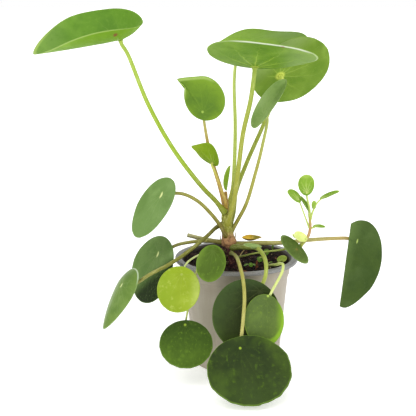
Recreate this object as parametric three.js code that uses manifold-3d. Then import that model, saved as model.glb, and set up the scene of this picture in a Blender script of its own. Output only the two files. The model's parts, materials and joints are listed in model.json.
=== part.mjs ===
// A pilea (Chinese money plant) in a round nursery pot, in millimetres, +Z up.
// The origin is the middle of the pot's foot, on the surface that the pot stands on.
import * as THREE from 'three';
import { mergeVertices } from 'three/addons/utils/BufferGeometryUtils.js';
import Module from 'manifold-3d';

// ---------------------------------------------------------------- driving dimensions
const POT_HEIGHT = 106;
const RIM_RADIUS = 60;
const LIP_HEIGHT = 3.2;
const COLLAR_RADIUS = 53.7;
const COLLAR_HEIGHT = 12.5;
const BODY_TOP_RADIUS = 51;
const FOOT_RADIUS = 42.2;
const POT_WALL = 1.5;
const POT_SEGMENTS = 48;
const RIM_WIDTH = 5.6;
const LIP_WALL = 1.4;
const LIP_ROUND = 0.8;
const COLLAR_STEP = 1.1;
const FOOT_RING = 4;
const FOOT_CHAMFER = 0.6;
const BASE_RAISE = 3;
const BASE_DRAFT = 1;
const CENTRE_PAD_RADIUS = 14;
const DRAIN_COUNT = 8;
const DRAIN_RADIUS = 3.5;
const DRAIN_CIRCLE = 25;
const DRAIN_SIDES = 10;
const NOTCH_WIDTH = 7;
const NOTCH_HEIGHT = 2.2;
const NOTCH_DEPTH = 12;

const SOIL_LEVEL = 95;
const SOIL_BUMP = 1.3;
const SOIL_MOUND = 1.5;
const SOIL_MOUND_SPREAD = 700;
const SOIL_BANK = 8;
const SOIL_BANK_START = -30;
const SOIL_BANK_END = 50;
const SOIL_RINGS = [43, 35, 26, 17, 8];
const FIT_GAP = 0.35;
const BLADE_GAP = 0.55;

const BLADE_THICKNESS = 0.9;
const BLADE_SEGMENTS = 24;
const BLADE_RINGS = 3;
const MIDDLE_BLADE_SEGMENTS = 16;
const SMALL_BLADE_SEGMENTS = 12;
const SMALL_BLADE_RINGS = 2;
const FOLD_SOFTNESS = 0.02;
const STALK_SIDES = 6;
const STALK_STEP = 9;
const SMALL_STALK_STEP = 6;
const STEM_SIDES = 10;
const STEM_STEP = 7;

const POT_COLOUR = 0xa79e96;
const SOIL_COLOUR = 0x3a2a20;
const BARK_COLOUR = 0x5a3a28;
const PLANTLET_COLOUR = 0x8fae3c;
const WITHERED_COLOUR = 0xc79a3a;
const BLADE_COLOURS = { fresh: 0x6f9a33, sheen: 0x6c8f5c, deep: 0x3f5a2c, lime: 0xa3b93e };
const STALK_COLOUR = 0xa9b552;

// Main stem: middle points from its buried end up to the tip, each with its radius.
const STEM = [
  [[-4, -5, 78], 5.6],
  [[-5, -5, 100], 6.6],
  [[-7.5, -4, 120], 6.1],
  [[-9.6, -3, 138], 5.6],
  [[-11, -1, 156], 3.8],
  [[-10.5, 0, 170.5], 1.4],
];

// Each leaf is a blade held at its hub, the point where the stalk meets its underside.
// heading turns the tip round from the front (0) to the right (90); dip lowers the tip;
// bank raises the blade's right edge. back is the share of the length behind the hub,
// side moves the hub off the middle, egg narrows the tip half, tip and hook draw the tip
// out and sideways, flat holds the left edge to a straight line that passes that far from
// the hub and meets the tip, cup lifts the edge, fold lifts both halves from the midrib, droop
// lowers the tip half, and wave ripples the edge wave_count times round.
// route is the stalk's middle line from the stem, or from inside the soil where the leaf is
// rooted there; its last stretch to the hub is added.
const LEAVES = [
  {
    name: 'crown_left', tint: 'fresh', hub: [-107, -30, 317], heading: -90, dip: 12, bank: -21,
    length: 90, width: 64, back: 0.264, egg: -0.18, tip: 13, cup: 11, fold: 12, droop: 2.2,
    wave: 1.7, wave_count: 3, wave_start: 180, radii: [2.4, 1.8],
    route: [
      [-11, -4, 150], [-21, -6, 163], [-33, -8, 176],
      [-60, -15, 213.5], [-83, -22, 257], [-101, -28, 304],
    ],
  },
  {
    name: 'crown_front', tint: 'fresh', hub: [15, -25, 292], heading: 0, dip: -18, bank: -5,
    length: 86, width: 98, back: 0.16, side: 0.05, cup: 2, fold: 2,
    wave: 1.6, wave_count: 2, wave_start: -170, radii: [2.4, 2.1],
    route: [
      [-9, -5, 138], [-6.5, -8.5, 148], [-3.3, -10, 161],
      [0.6, -14, 192], [5, -19, 230], [11.5, -23, 261],
    ],
  },
  {
    name: 'crown_right', tint: 'fresh', hub: [41, 15, 281], heading: 80, dip: -38, bank: -42,
    length: 79, width: 82, back: 0.36, side: 0.06, radii: [2.3, 1.9],
    route: [
      [-8, -2, 131], [-3, 4, 148], [-0.5, 7, 168.5],
      [9.4, 10, 196], [24.7, 13, 231], [35, 13, 257],
    ],
  },
  {
    name: 'crown_back', tint: 'fresh', hub: [0, 45, 307], heading: 90, dip: -1, bank: -24,
    length: 93, width: 84, back: 0.22, wave: 1.4, wave_count: 5, wave_start: -75, radii: [2.2, 1.5],
    route: [
      [-10, -1, 146], [-6.5, 6.5, 160], [-3.5, 10.5, 172],
      [-1.8, 18, 198], [-1, 28, 231], [-2, 38, 273],
    ],
  },
  {
    name: 'crown_slim', tint: 'sheen', hub: [24.4, -16, 246.2], heading: 117, dip: -53, bank: 0,
    length: 55, width: 31, back: 0.28, side: 0.04, cup: 1, fold: 3, radii: [2, 1.4],
    route: [[-8, -3, 126], [1.4, -2, 143], [9, -4.5, 159], [16.8, -8.5, 187.5], [23.5, -12, 217]],
  },
  {
    name: 'young_cupped', tint: 'fresh', hub: [-33, 5, 247], heading: -100, dip: -60, bank: -85,
    length: 44, width: 37.5, back: 0.26, side: -0.22, egg: 0.04, tip: 6, hook: 13, cup: 3,
    radii: [2.4, 1.2],
    route: [
      [-10.5, 0, 157], [-13.5, 3, 165], [-17, 5, 177],
      [-23.4, 7, 197.5], [-28, 9, 216.5], [-31.5, 10.5, 237],
    ],
  },
  {
    name: 'young_side', tint: 'fresh', hub: [-23.5, -4, 199], heading: -90, dip: -48, bank: 70,
    length: 27, width: 17, back: 0.2, side: 0.08, egg: -0.35, tip: 3, hook: -7, cup: 2, fold: 3,
    radii: [1.6, 1],
    route: [[-9.8, -3, 155], [-11.4, -7.8, 164], [-14.2, -9, 172], [-20, -9, 188]],
  },
  {
    name: 'left_upper', tint: 'sheen', hub: [-72, -20, 171], heading: -37, dip: 50, bank: 9,
    length: 66, width: 46, back: 0.28, side: -0.03, egg: 0.12, cup: 2, radii: [2, 1.6],
    route: [
      [-8.5, -5, 124], [-12, -9, 131], [-15.5, -9.5, 138], [-25, -11, 151],
      [-38, -13, 164], [-52, -14, 171], [-63, -14, 171],
    ],
  },
  {
    name: 'left_middle', tint: 'deep', hub: [-76.8, -9, 110], heading: -50, dip: 63, bank: 6,
    length: 67, width: 70, back: 0.275, side: -0.03, hook: -3, droop: 3, radii: [1.9, 1.5],
    route: [[-9, -4, 120.5], [-26, -5, 122.3], [-45, -6, 121.5], [-61, -6.5, 117.5]],
  },
  {
    name: 'left_outer', tint: 'sheen', hub: [-109, -46, 90], heading: -65, dip: 58, bank: 0,
    length: 60, width: 41, back: 0.33, side: -0.08, egg: 0.22, tip: 4, cup: -7, radii: [2, 1.6],
    route: [
      [-11, -2, 140], [-20, -4, 135.5], [-28, -13, 130], [-45, -27, 119],
      [-63, -40, 109.5], [-82, -43, 100], [-94, -40.5, 91.5],
    ],
  },
  {
    name: 'rim_small', tint: 'fresh', hub: [-23, -62, 128], heading: -20, dip: 65, bank: 0,
    length: 34, width: 28, back: 0.15, cup: 1.5, radii: [1.2, 1],
    route: [[-8, -8, 102], [-13, -22, 104], [-18, -38, 110], [-21, -50, 118]],
  },
  {
    name: 'rim_yellow', tint: 'lime', hub: [-52, -62, 105.5], heading: -5, dip: 60, bank: 0,
    length: 43, width: 39, back: 0.17, side: -0.05, cup: 1.5, radii: [0.9, 0.9],
    route: [[-9, -6, 112], [-23, -22, 118], [-37, -38, 117], [-47, -51, 113.5], [-50.5, -54, 108]],
  },
  {
    name: 'low_left', tint: 'deep', hub: [-49, -64, 57.5], heading: 0, dip: 70, bank: 0,
    length: 44, width: 49, back: 0.1, side: 0.02, cup: 1.5, radii: [1.1, 0.9],
    route: [
      [-7.5, -7, 107], [-22, -30, 114], [-35, -50, 114],
      [-39.5, -60, 103.5], [-43.5, -62, 86], [-47, -60, 68],
    ],
  },
  {
    name: 'front_broad', tint: 'deep', hub: [19.5, -70, 92], heading: 0, dip: 78, bank: 0,
    length: 66, width: 62, back: 0.17, side: -0.2, cup: 1.5, radii: [2.4, 1.7],
    route: [
      [-5.5, -7.5, 116.5], [1.5, -12, 118], [9, -19, 119.5], [14, -28, 122], [18.5, -37, 123.5],
      [22.5, -47, 121.5], [25, -55, 117], [25.6, -60, 111], [24.6, -63.5, 103.5],
    ],
  },
  {
    name: 'front_small', rooted: true, tint: 'fresh', hub: [26, -77, 84], heading: 4, dip: 78, bank: 0,
    length: 47, width: 36, back: 0.15, side: -0.09, cup: 1, radii: [1.5, 1.2],
    route: [
      [29.4, -4, 82], [29.4, -5, 96], [31.5, -20, 102], [35.5, -42, 109], [38.8, -56, 114],
      [40.6, -65, 115.5], [39.6, -72, 112], [37, -74, 106.5], [33, -74.5, 99], [29, -74.5, 91],
    ],
  },
  {
    name: 'front_low', tint: 'deep', hub: [1, -96, 47], heading: 8, dip: 55, bank: 0,
    length: 63, width: 76, back: 0.17, side: 0.08, cup: 2, wave: 1, wave_count: 7, radii: [1.8, 1.6],
    route: [
      [-5.5, -8, 111], [-1.5, -34, 115], [1, -56, 113.5], [4, -73, 103.5],
      [5, -82, 90], [4, -86, 73], [2.6, -87, 57], [1.5, -89, 49],
    ],
  },
  {
    name: 'right', tint: 'deep', hub: [115, -20, 126], heading: -45, dip: 67, bank: -40,
    length: 77.5, width: 49.5, back: 0.27, side: 0.05, egg: -0.06, tip: 8, flat: 8.6, cup: 2,
    radii: [2.5, 1.6],
    route: [
      [-6, -3, 118], [18, -4, 120], [45, -8, 121.5],
      [71, -11, 125], [94.5, -13, 127], [108, -13.5, 127],
    ],
  },
];

// The last leaf is still rolled up and stands straight on the stem's tip.
const ROLLED_LEAF = {
  name: 'young_rolled', tint: 'fresh', hub: [-10, 0, 172], heading: 60, dip: -80, bank: 0,
  length: 25, width: 7.5, back: 0.03, fold: 3.4,
};

// The stub of a stalk whose blade was cut off.
const CUT_STALK = {
  radii: [2.3, 2],
  route: [[-9, 0, 119], [-21.5, 4, 120], [-34, 8, 121.5], [-48, 12, 124]],
};

// A plantlet on a runner that comes out of the stem's foot and passes over the rim. Its
// leaves are placed as the large ones are, and route ends at the hub.
const RUNNER = {
  radii: [0.9, 1],
  route: [[-3, -5, 105], [18, -9, 111], [44, -17, 117], [58.5, -24, 122.5], [62, -24.5, 125]],
};
const PLANTLET_STEM = {
  radii: [1.6, 1.2],
  route: [
    [60.5, -24.5, 123.5], [65.4, -25, 129], [68.1, -25, 134.4],
    [69.1, -25, 142.2], [68.5, -25, 149], [67.8, -25, 156],
  ],
};
const PLANTLET_LEAVES = [
  {
    hub: [64.8, -25.5, 175], heading: -90, dip: -84, bank: -76, length: 20, width: 16,
    back: 0.16, egg: -0.12, cup: 1, radii: [1.2, 0.9],
    route: [[68.3, -25, 151], [67.6, -24.8, 160], [65.4, -24.4, 170]],
  },
  {
    hub: [57, -27, 168.5], heading: -74, dip: -36, bank: -42, length: 17, width: 13,
    back: 0.2, fold: 1.5, radii: [0.8, 0.7],
    route: [[68.6, -25, 139.5], [64.8, -25.4, 149], [61, -26, 159], [58.2, -26.3, 166]],
  },
  {
    hub: [68, -24.6, 155], heading: -96, dip: -57, bank: -14, length: 19, width: 8,
    back: 0.02, fold: 2.5, route: [],
  },
  {
    hub: [80, -22, 168.6], heading: 93, dip: -22, bank: 16, length: 19.5, width: 8,
    back: 0.12, fold: 1, radii: [0.9, 0.7],
    route: [[68.8, -25, 147], [71.4, -24.6, 157], [75.5, -23.5, 164.5]],
  },
  {
    hub: [72.2, -25, 158.5], heading: 0, dip: -86, bank: 0, length: 8.5, width: 4.5,
    back: 0.05, fold: 1.5, radii: [0.7, 0.6], route: [[68.6, -25, 149], [70.6, -25, 154]],
  },
  {
    hub: [74, -24.5, 141.5], heading: 90, dip: 3, bank: 14, length: 12, width: 7,
    back: 0.2, fold: 1, radii: [0.8, 0.7], route: [[69, -25, 139.5], [71.5, -24.7, 140.5]],
  },
  {
    hub: [64.3, -26.6, 129.5], heading: -80, dip: -22, bank: -45, length: 14, width: 11,
    back: 0.1, cup: 2, radii: [0.8, 0.7], route: [[66, -25, 129.5]],
  },
  {
    hub: [60.5, -25.4, 128], heading: -95, dip: -27, bank: -20, length: 11, width: 7,
    back: 0.1, cup: 1.5, radii: [0.7, 0.6], route: [[63.4, -24.8, 126.5]],
  },
];
const PLANTLET_BLADE = {
  name: 'plantlet', tint: 'deep', hub: [56, -31, 120.8], heading: 66, dip: 42, bank: 35,
  length: 35, width: 15, back: 0.54, side: -0.1, radii: [0.9, 0.8],
  route: [[63, -24.8, 126], [61, -25.6, 122]],
};

// A withered leaf that has dropped on the back of the rim.
const WITHERED_LEAF = {
  name: 'withered', hub: [15, 55, 107.8], heading: 95, dip: 0, bank: 10, length: 19, width: 11,
  back: 0.4, cup: 1.6, fold: 0.8, tip: 2,
};

// ---------------------------------------------------------------- solids
const wasm = await Module();
wasm.setup();

const vector = (point) => new THREE.Vector3(...point);
const degrees = (angle) => THREE.MathUtils.degToRad(angle);

function solidOf(geometry) {
  geometry.deleteAttribute('normal');
  geometry.deleteAttribute('uv');
  const merged = mergeVertices(geometry, 1e-4);
  return new wasm.Manifold(new wasm.Mesh({
    numProp: 3,
    vertProperties: new Float32Array(merged.attributes.position.array),
    triVerts: new Uint32Array(merged.index.array),
  }));
}

function geometryOf(solid) {
  const mesh = solid.getMesh();
  return geometryFrom(Array.from(mesh.vertProperties), Array.from(mesh.triVerts));
}

function geometryFrom(positions, indices) {
  const geometry = new THREE.BufferGeometry();
  geometry.setAttribute('position', new THREE.Float32BufferAttribute(positions, 3));
  geometry.setIndex(indices);
  geometry.computeVertexNormals();
  return geometry;
}

// A cut can leave a loose sliver on the far side of what was cut, so the largest piece stays.
function largestPiece(solid) {
  return solid.decompose().reduce((best, piece) => (piece.volume() > best.volume() ? piece : best));
}

// ---------------------------------------------------------------- blades
function bladeFrame(leaf) {
  const [heading, dip, bank] = [leaf.heading, leaf.dip, leaf.bank].map(degrees);
  const tip = new THREE.Vector3(
    Math.cos(dip) * Math.sin(heading), -Math.cos(dip) * Math.cos(heading), -Math.sin(dip));
  const level = new THREE.Vector3(Math.cos(heading), Math.sin(heading), 0);
  const upright = tip.clone().cross(level);
  const side = level.clone().multiplyScalar(Math.cos(bank)).addScaledVector(upright, Math.sin(bank));
  const normal = upright.multiplyScalar(Math.cos(bank)).addScaledVector(level, -Math.sin(bank));
  return { tip, side, normal };
}

// The blade's middle surface: angle runs round the hub from the tip, and share from the hub
// (0) to the edge (1). The outline is an oval whose middle lies ahead of the hub.
function bladePoint(leaf, frame, angle, share) {
  const { back = 0.25, side = 0, egg = 0, tip = 0, hook = 0, flat = null } = leaf;
  const { cup = 0, fold = 0, droop = 0, wave = 0, wave_count = 3, wave_start = 0 } = leaf;
  const [halfLength, halfWidth] = [leaf.length / 2, leaf.width / 2];
  const [along, across] = [Math.cos(angle), Math.sin(angle)];
  const ahead = Math.max(along, 0);
  const reach = halfLength * (2 - 2 * back) + tip;
  const edgeU = halfLength * (1 - 2 * back + along) + tip * ahead ** 8;
  const roundV = halfWidth * (across * (1 - egg * along) + 2 * side) + hook * ahead ** 6;
  const edgeV = flat === null ? roundV : Math.max(roundV, -flat * (1 - edgeU / reach));
  const [u, v] = [share * edgeU, share * edgeV];
  const crease = Math.sqrt((v / halfWidth) ** 2 + FOLD_SOFTNESS) - Math.sqrt(FOLD_SOFTNESS);
  const w = cup * share ** 2 + fold * crease - droop * (Math.max(u, 0) / halfLength) ** 2
    + wave * share ** 3 * Math.sin(wave_count * angle + degrees(wave_start));
  return vector(leaf.hub).addScaledVector(frame.tip, u)
    .addScaledVector(frame.side, v).addScaledVector(frame.normal, w);
}

// Both faces are the middle surface moved half the thickness along the blade's normal, and
// they are split into triangles alike, so that they never cross.
function bladeGeometry(leaf, segments, rings) {
  const frame = bladeFrame(leaf);
  const faceVertices = 1 + segments * rings;
  const positions = [];
  for (const face of [0.5, -0.5]) {
    const shift = frame.normal.clone().multiplyScalar(face * BLADE_THICKNESS);
    positions.push(...vector(leaf.hub).add(shift));
    for (let ring = 1; ring <= rings; ring += 1) {
      for (let step = 0; step < segments; step += 1) {
        const angle = (2 * Math.PI * step) / segments;
        positions.push(...bladePoint(leaf, frame, angle, ring / rings).add(shift));
      }
    }
  }
  const indices = [];
  const addBoth = (a, b, c) => {
    indices.push(a, b, c, a + faceVertices, c + faceVertices, b + faceVertices);
  };
  for (let step = 0; step < segments; step += 1) {
    const next = (step + 1) % segments;
    addBoth(0, 1 + step, 1 + next);
    for (let ring = 0; ring < rings - 1; ring += 1) {
      const inner = 1 + ring * segments;
      const outer = inner + segments;
      addBoth(inner + step, outer + step, outer + next);
      addBoth(inner + step, outer + next, inner + next);
    }
    const rim = 1 + (rings - 1) * segments;
    const [top, topNext] = [rim + step, rim + next];
    const [under, underNext] = [top + faceVertices, topNext + faceVertices];
    indices.push(top, under, underNext, top, underNext, topNext);
  }
  return geometryFrom(positions, indices);
}

// ---------------------------------------------------------------- stalks and stems
// A round tube whose radius changes evenly along its route. endNormal, where it is given,
// squares the far end to a blade.
function tubeGeometry(points, radiusAt, sides, step, endNormal) {
  const curve = new THREE.CatmullRomCurve3(points, false, 'centripetal');
  const steps = Math.max(3, Math.round(curve.getLength() / step));
  const { tangents, normals, binormals } = curve.computeFrenetFrames(steps, false);
  if (endNormal) {
    normals[steps].addScaledVector(endNormal, -normals[steps].dot(endNormal)).normalize();
    binormals[steps].crossVectors(endNormal, normals[steps]);
    if (tangents[steps].dot(endNormal) < 0) binormals[steps].negate();
  }
  const positions = [];
  for (let index = 0; index <= steps; index += 1) {
    const middle = curve.getPointAt(index / steps);
    const radius = radiusAt(index / steps);
    for (let side = 0; side < sides; side += 1) {
      const angle = (2 * Math.PI * side) / sides;
      const point = middle.clone().addScaledVector(normals[index], radius * Math.cos(angle))
        .addScaledVector(binormals[index], radius * Math.sin(angle));
      positions.push(...point);
    }
  }
  const indices = [];
  for (let index = 0; index < steps; index += 1) {
    for (let side = 0; side < sides; side += 1) {
      const [a, b] = [index * sides + side, index * sides + ((side + 1) % sides)];
      indices.push(a, b, b + sides, a, b + sides, a + sides);
    }
  }
  const last = steps * sides;
  for (let side = 1; side < sides - 1; side += 1) {
    indices.push(0, side + 1, side, last, last + side, last + side + 1);
  }
  return geometryFrom(positions, indices);
}

const evenly = ([start, end]) => (share) => THREE.MathUtils.lerp(start, end, share);

// The stalk turns square to the blade below the hub and stops just short of its underside.
// extra makes the hole that a rooted stalk stands in.
function stalkGeometry(leaf, extra = 0) {
  const { normal } = bladeFrame(leaf);
  const hub = vector(leaf.hub);
  const reach = BLADE_THICKNESS / 2 + BLADE_GAP;
  const turn = reach + 2 * leaf.radii[1];
  const points = [
    ...leaf.route.map(vector),
    hub.clone().addScaledVector(normal, -turn),
    hub.clone().addScaledVector(normal, -reach),
  ];
  points[0].z -= extra;
  const radiusAt = evenly(leaf.radii.map((radius) => radius + extra));
  return tubeGeometry(points, radiusAt, STALK_SIDES, STALK_STEP, normal);
}

// The stem's radius follows its list of points, and extra makes the hole that it stands in.
function stemGeometry(extra = 0) {
  const points = STEM.map(([point]) => vector(point));
  points[0].z -= extra;
  const radii = STEM.map(([, radius]) => radius + extra);
  const radiusAt = (share) => {
    const place = share * (radii.length - 1);
    const index = Math.min(Math.floor(place), radii.length - 2);
    return THREE.MathUtils.lerp(radii[index], radii[index + 1], place - index);
  };
  return tubeGeometry(points, radiusAt, STEM_SIDES, STEM_STEP, null);
}

// ---------------------------------------------------------------- pot and soil
// Turns a shape that stands along Y so that it stands along Z.
const standUp = new THREE.Matrix4().makeBasis(vector([1, 0, 0]), vector([0, 0, 1]), vector([0, -1, 0]));

function lathe(profile, segments) {
  const points = profile.map(([radius, height]) => new THREE.Vector2(radius, height));
  return new THREE.LatheGeometry(points, segments).applyMatrix4(standUp);
}

const lipFoot = POT_HEIGHT - LIP_HEIGHT;
const lipInside = RIM_RADIUS - LIP_WALL;
const rimUnderside = POT_HEIGHT - 1.2 * POT_WALL;
const collarFoot = lipFoot - COLLAR_HEIGHT;
const ringInside = FOOT_RADIUS - FOOT_RING;
const innerFoot = BASE_RAISE + POT_WALL;
const innerFootRadius = FOOT_RADIUS - BASE_DRAFT;
const innerCollarFoot = BODY_TOP_RADIUS - POT_WALL - 0.2;

function potSolid() {
  const underside = [
    [0, 0], [CENTRE_PAD_RADIUS, 0], [CENTRE_PAD_RADIUS + BASE_DRAFT, BASE_RAISE],
    [ringInside - BASE_DRAFT, BASE_RAISE], [ringInside, 0], [FOOT_RADIUS, 0],
  ];
  const outside = [
    [FOOT_RADIUS + FOOT_CHAMFER, FOOT_CHAMFER], [BODY_TOP_RADIUS, collarFoot - COLLAR_STEP],
    [BODY_TOP_RADIUS + COLLAR_STEP, collarFoot], [COLLAR_RADIUS, rimUnderside],
    [lipInside, rimUnderside], [lipInside, lipFoot], [RIM_RADIUS, lipFoot],
    [RIM_RADIUS, POT_HEIGHT - LIP_ROUND], [RIM_RADIUS - LIP_ROUND, POT_HEIGHT],
  ];
  const inside = [
    [RIM_RADIUS - RIM_WIDTH, POT_HEIGHT],
    [COLLAR_RADIUS - POT_WALL, POT_HEIGHT - 1.5 * POT_WALL],
    [innerCollarFoot + POT_WALL, collarFoot + LIP_ROUND], [innerCollarFoot, collarFoot - LIP_ROUND],
    [innerFootRadius, innerFoot], [0, innerFoot],
  ];
  let pot = solidOf(lathe([...underside, ...outside, ...inside], POT_SEGMENTS));
  for (let index = 0; index < DRAIN_COUNT; index += 1) {
    const angle = (2 * Math.PI * index) / DRAIN_COUNT;
    const drain = new THREE.CylinderGeometry(DRAIN_RADIUS, DRAIN_RADIUS, 4 * POT_WALL, DRAIN_SIDES)
      .applyMatrix4(standUp)
      .translate(DRAIN_CIRCLE, 0, BASE_RAISE + POT_WALL / 2)
      .rotateZ(angle);
    const notch = new THREE.BoxGeometry(NOTCH_DEPTH, NOTCH_WIDTH, 2 * NOTCH_HEIGHT)
      .translate(FOOT_RADIUS, 0, 0)
      .rotateZ(angle + Math.PI / DRAIN_COUNT);
    pot = pot.subtract(solidOf(drain)).subtract(solidOf(notch));
  }
  return pot;
}

// Soil fills the pot up to a lumpy surface that rises a little round the stem and is banked up
// against the back of the wall.
function soilHeight(x, y) {
  const lumps = Math.sin(0.21 * x + 0.8) * Math.cos(0.17 * y) + 0.6 * Math.sin(0.37 * x - 0.31 * y);
  const mound = SOIL_MOUND * Math.exp(-(x * x + y * y) / SOIL_MOUND_SPREAD);
  const back = Math.max(0, (y - SOIL_BANK_START) / (SOIL_BANK_END - SOIL_BANK_START));
  const bank = (SOIL_BANK * back * (x * x + y * y)) / SOIL_BANK_END ** 2;
  return SOIL_LEVEL + SOIL_BUMP * lumps + mound + bank;
}

function soilSolid() {
  const floor = innerFoot + FIT_GAP;
  const slope = (innerCollarFoot - innerFootRadius) / (collarFoot - LIP_ROUND - innerFoot);
  const radiusAt = (height) => innerFootRadius + slope * (height - innerFoot) - FIT_GAP;
  const shoulder = collarFoot - 2 * POT_WALL;
  const profile = [
    [0, floor], [radiusAt(floor), floor], [radiusAt(shoulder), shoulder],
    [innerCollarFoot - FIT_GAP, collarFoot],
    [innerCollarFoot + 4 * FIT_GAP, SOIL_LEVEL],
    ...SOIL_RINGS.map((radius) => [radius, SOIL_LEVEL]),
    [0, SOIL_LEVEL],
  ];
  const geometry = lathe(profile, POT_SEGMENTS);
  const { position } = geometry.attributes;
  for (let index = 0; index < position.count; index += 1) {
    if (position.getZ(index) === SOIL_LEVEL) {
      position.setZ(index, soilHeight(position.getX(index), position.getY(index)));
    }
  }
  const rooted = LEAVES.filter((leaf) => leaf.rooted);
  const holes = [stemGeometry(FIT_GAP), ...rooted.map((leaf) => stalkGeometry(leaf, 2 * FIT_GAP))];
  return holes.map(solidOf).reduce((soil, hole) => soil.subtract(hole), solidOf(geometry));
}

// ---------------------------------------------------------------- plantlet
// What grows out of the main stem is cut back to just clear of it.
const stemHole = solidOf(stemGeometry(FIT_GAP));

function plantletSolid() {
  const stems = [RUNNER, PLANTLET_STEM].map(({ route, radii }) => (
    tubeGeometry(route.map(vector), evenly(radii), STALK_SIDES, SMALL_STALK_STEP)));
  const leaves = PLANTLET_LEAVES.flatMap((leaf) => {
    const blade = bladeGeometry(leaf, SMALL_BLADE_SEGMENTS, SMALL_BLADE_RINGS);
    if (leaf.route.length === 0) return [blade];
    const points = [...leaf.route, leaf.hub].map(vector);
    return [blade, tubeGeometry(points, evenly(leaf.radii), STALK_SIDES, SMALL_STALK_STEP)];
  });
  const parts = [...stems, ...leaves, stalkGeometry(PLANTLET_BLADE)].map(solidOf);
  const whole = parts.reduce((sum, solid) => sum.add(solid));
  return largestPiece(whole.subtract(stemHole));
}

// ---------------------------------------------------------------- assembly
const plant = new THREE.Group();

function addPiece(name, geometry, colour, roughness) {
  const material = new THREE.MeshStandardMaterial({ color: colour, roughness, metalness: 0 });
  const mesh = new THREE.Mesh(geometry, material);
  mesh.name = name;
  plant.add(mesh);
}

function addBlade(leaf, segments, rings, colour = BLADE_COLOURS[leaf.tint]) {
  addPiece(`blade_${leaf.name}`, bladeGeometry(leaf, segments, rings), colour, 0.5);
}

function addStalk(name, geometry) {
  const trimmed = largestPiece(solidOf(geometry).subtract(stemHole));
  addPiece(`stalk_${name}`, geometryOf(trimmed), STALK_COLOUR, 0.5);
}

const cutStalk = tubeGeometry(
  CUT_STALK.route.map(vector), evenly(CUT_STALK.radii), STALK_SIDES, STALK_STEP);

addPiece('pot', geometryOf(potSolid()), POT_COLOUR, 0.55);
addPiece('soil', geometryOf(soilSolid()), SOIL_COLOUR, 0.95);
addPiece('main_stem', stemGeometry(), BARK_COLOUR, 0.8);
for (const leaf of LEAVES) {
  addBlade(leaf, BLADE_SEGMENTS, BLADE_RINGS);
  addStalk(leaf.name, stalkGeometry(leaf));
}
addBlade(ROLLED_LEAF, MIDDLE_BLADE_SEGMENTS, BLADE_RINGS);
addStalk('cut', cutStalk);
addPiece('plantlet', geometryOf(plantletSolid()), PLANTLET_COLOUR, 0.5);
addBlade(PLANTLET_BLADE, MIDDLE_BLADE_SEGMENTS, SMALL_BLADE_RINGS);
addBlade(WITHERED_LEAF, MIDDLE_BLADE_SEGMENTS, SMALL_BLADE_RINGS, WITHERED_COLOUR);

export default plant;
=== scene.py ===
import json
import math
import random

import bpy
import numpy as np
from mathutils import Matrix, Vector


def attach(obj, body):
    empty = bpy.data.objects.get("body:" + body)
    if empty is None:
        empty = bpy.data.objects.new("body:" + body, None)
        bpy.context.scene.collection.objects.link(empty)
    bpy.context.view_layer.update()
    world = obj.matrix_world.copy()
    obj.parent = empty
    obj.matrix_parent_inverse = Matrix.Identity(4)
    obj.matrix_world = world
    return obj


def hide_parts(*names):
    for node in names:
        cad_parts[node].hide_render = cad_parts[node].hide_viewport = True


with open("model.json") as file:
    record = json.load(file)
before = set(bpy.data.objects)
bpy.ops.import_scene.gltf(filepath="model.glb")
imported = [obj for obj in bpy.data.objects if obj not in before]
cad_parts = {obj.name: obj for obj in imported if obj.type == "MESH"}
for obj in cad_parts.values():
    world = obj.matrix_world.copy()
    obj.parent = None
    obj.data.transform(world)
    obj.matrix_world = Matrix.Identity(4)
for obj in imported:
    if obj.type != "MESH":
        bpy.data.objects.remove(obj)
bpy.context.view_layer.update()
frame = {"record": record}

# A pilea in a nursery pot. Lengths are in millimetres until they reach a mesh or a relief, in the
# part's own frame: +Z up, -Y towards the viewer, the origin in the middle of the pot's foot.
# Texture scales are per metre, because object coordinates are in metres; on a blade they are per mm.
MM = 0.001
BODY = "root"
DRAWN_TURN = 6.283       # a full turn, as the random draws have it

# ---------------------------------------------------------------- sizes, as in the part
POT_HEIGHT = 106.0
RIM_RADIUS = 60.0
LIP_HEIGHT = 3.2
COLLAR_RADIUS = 53.7
COLLAR_HEIGHT = 12.5
BODY_TOP_RADIUS = 51.0
FOOT_RADIUS = 42.2
POT_WALL = 1.5
BASE_RAISE = 3.0
CENTRE_PAD_RADIUS = 14.0
DRAIN_COUNT = 8
DRAIN_RADIUS = 3.5
DRAIN_CIRCLE = 25.0
NOTCH_WIDTH = 7.0
NOTCH_HEIGHT = 2.2
NOTCH_DEPTH = 12.0
SOIL_LEVEL = 95.0
SOIL_BUMP = 1.3
FOLD_SOFTNESS = 0.02

# Points and radii of the stem, from inside the soil up to its tip.
STEM = [
    ((-4, -5, 78), 5.6),
    ((-5, -5, 100), 6.6),
    ((-7.5, -4, 120), 6.1),
    ((-9.6, -3, 138), 5.6),
    ((-11, -1, 156), 3.8),
    ((-10.5, 0, 170.5), 1.4),
]

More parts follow.
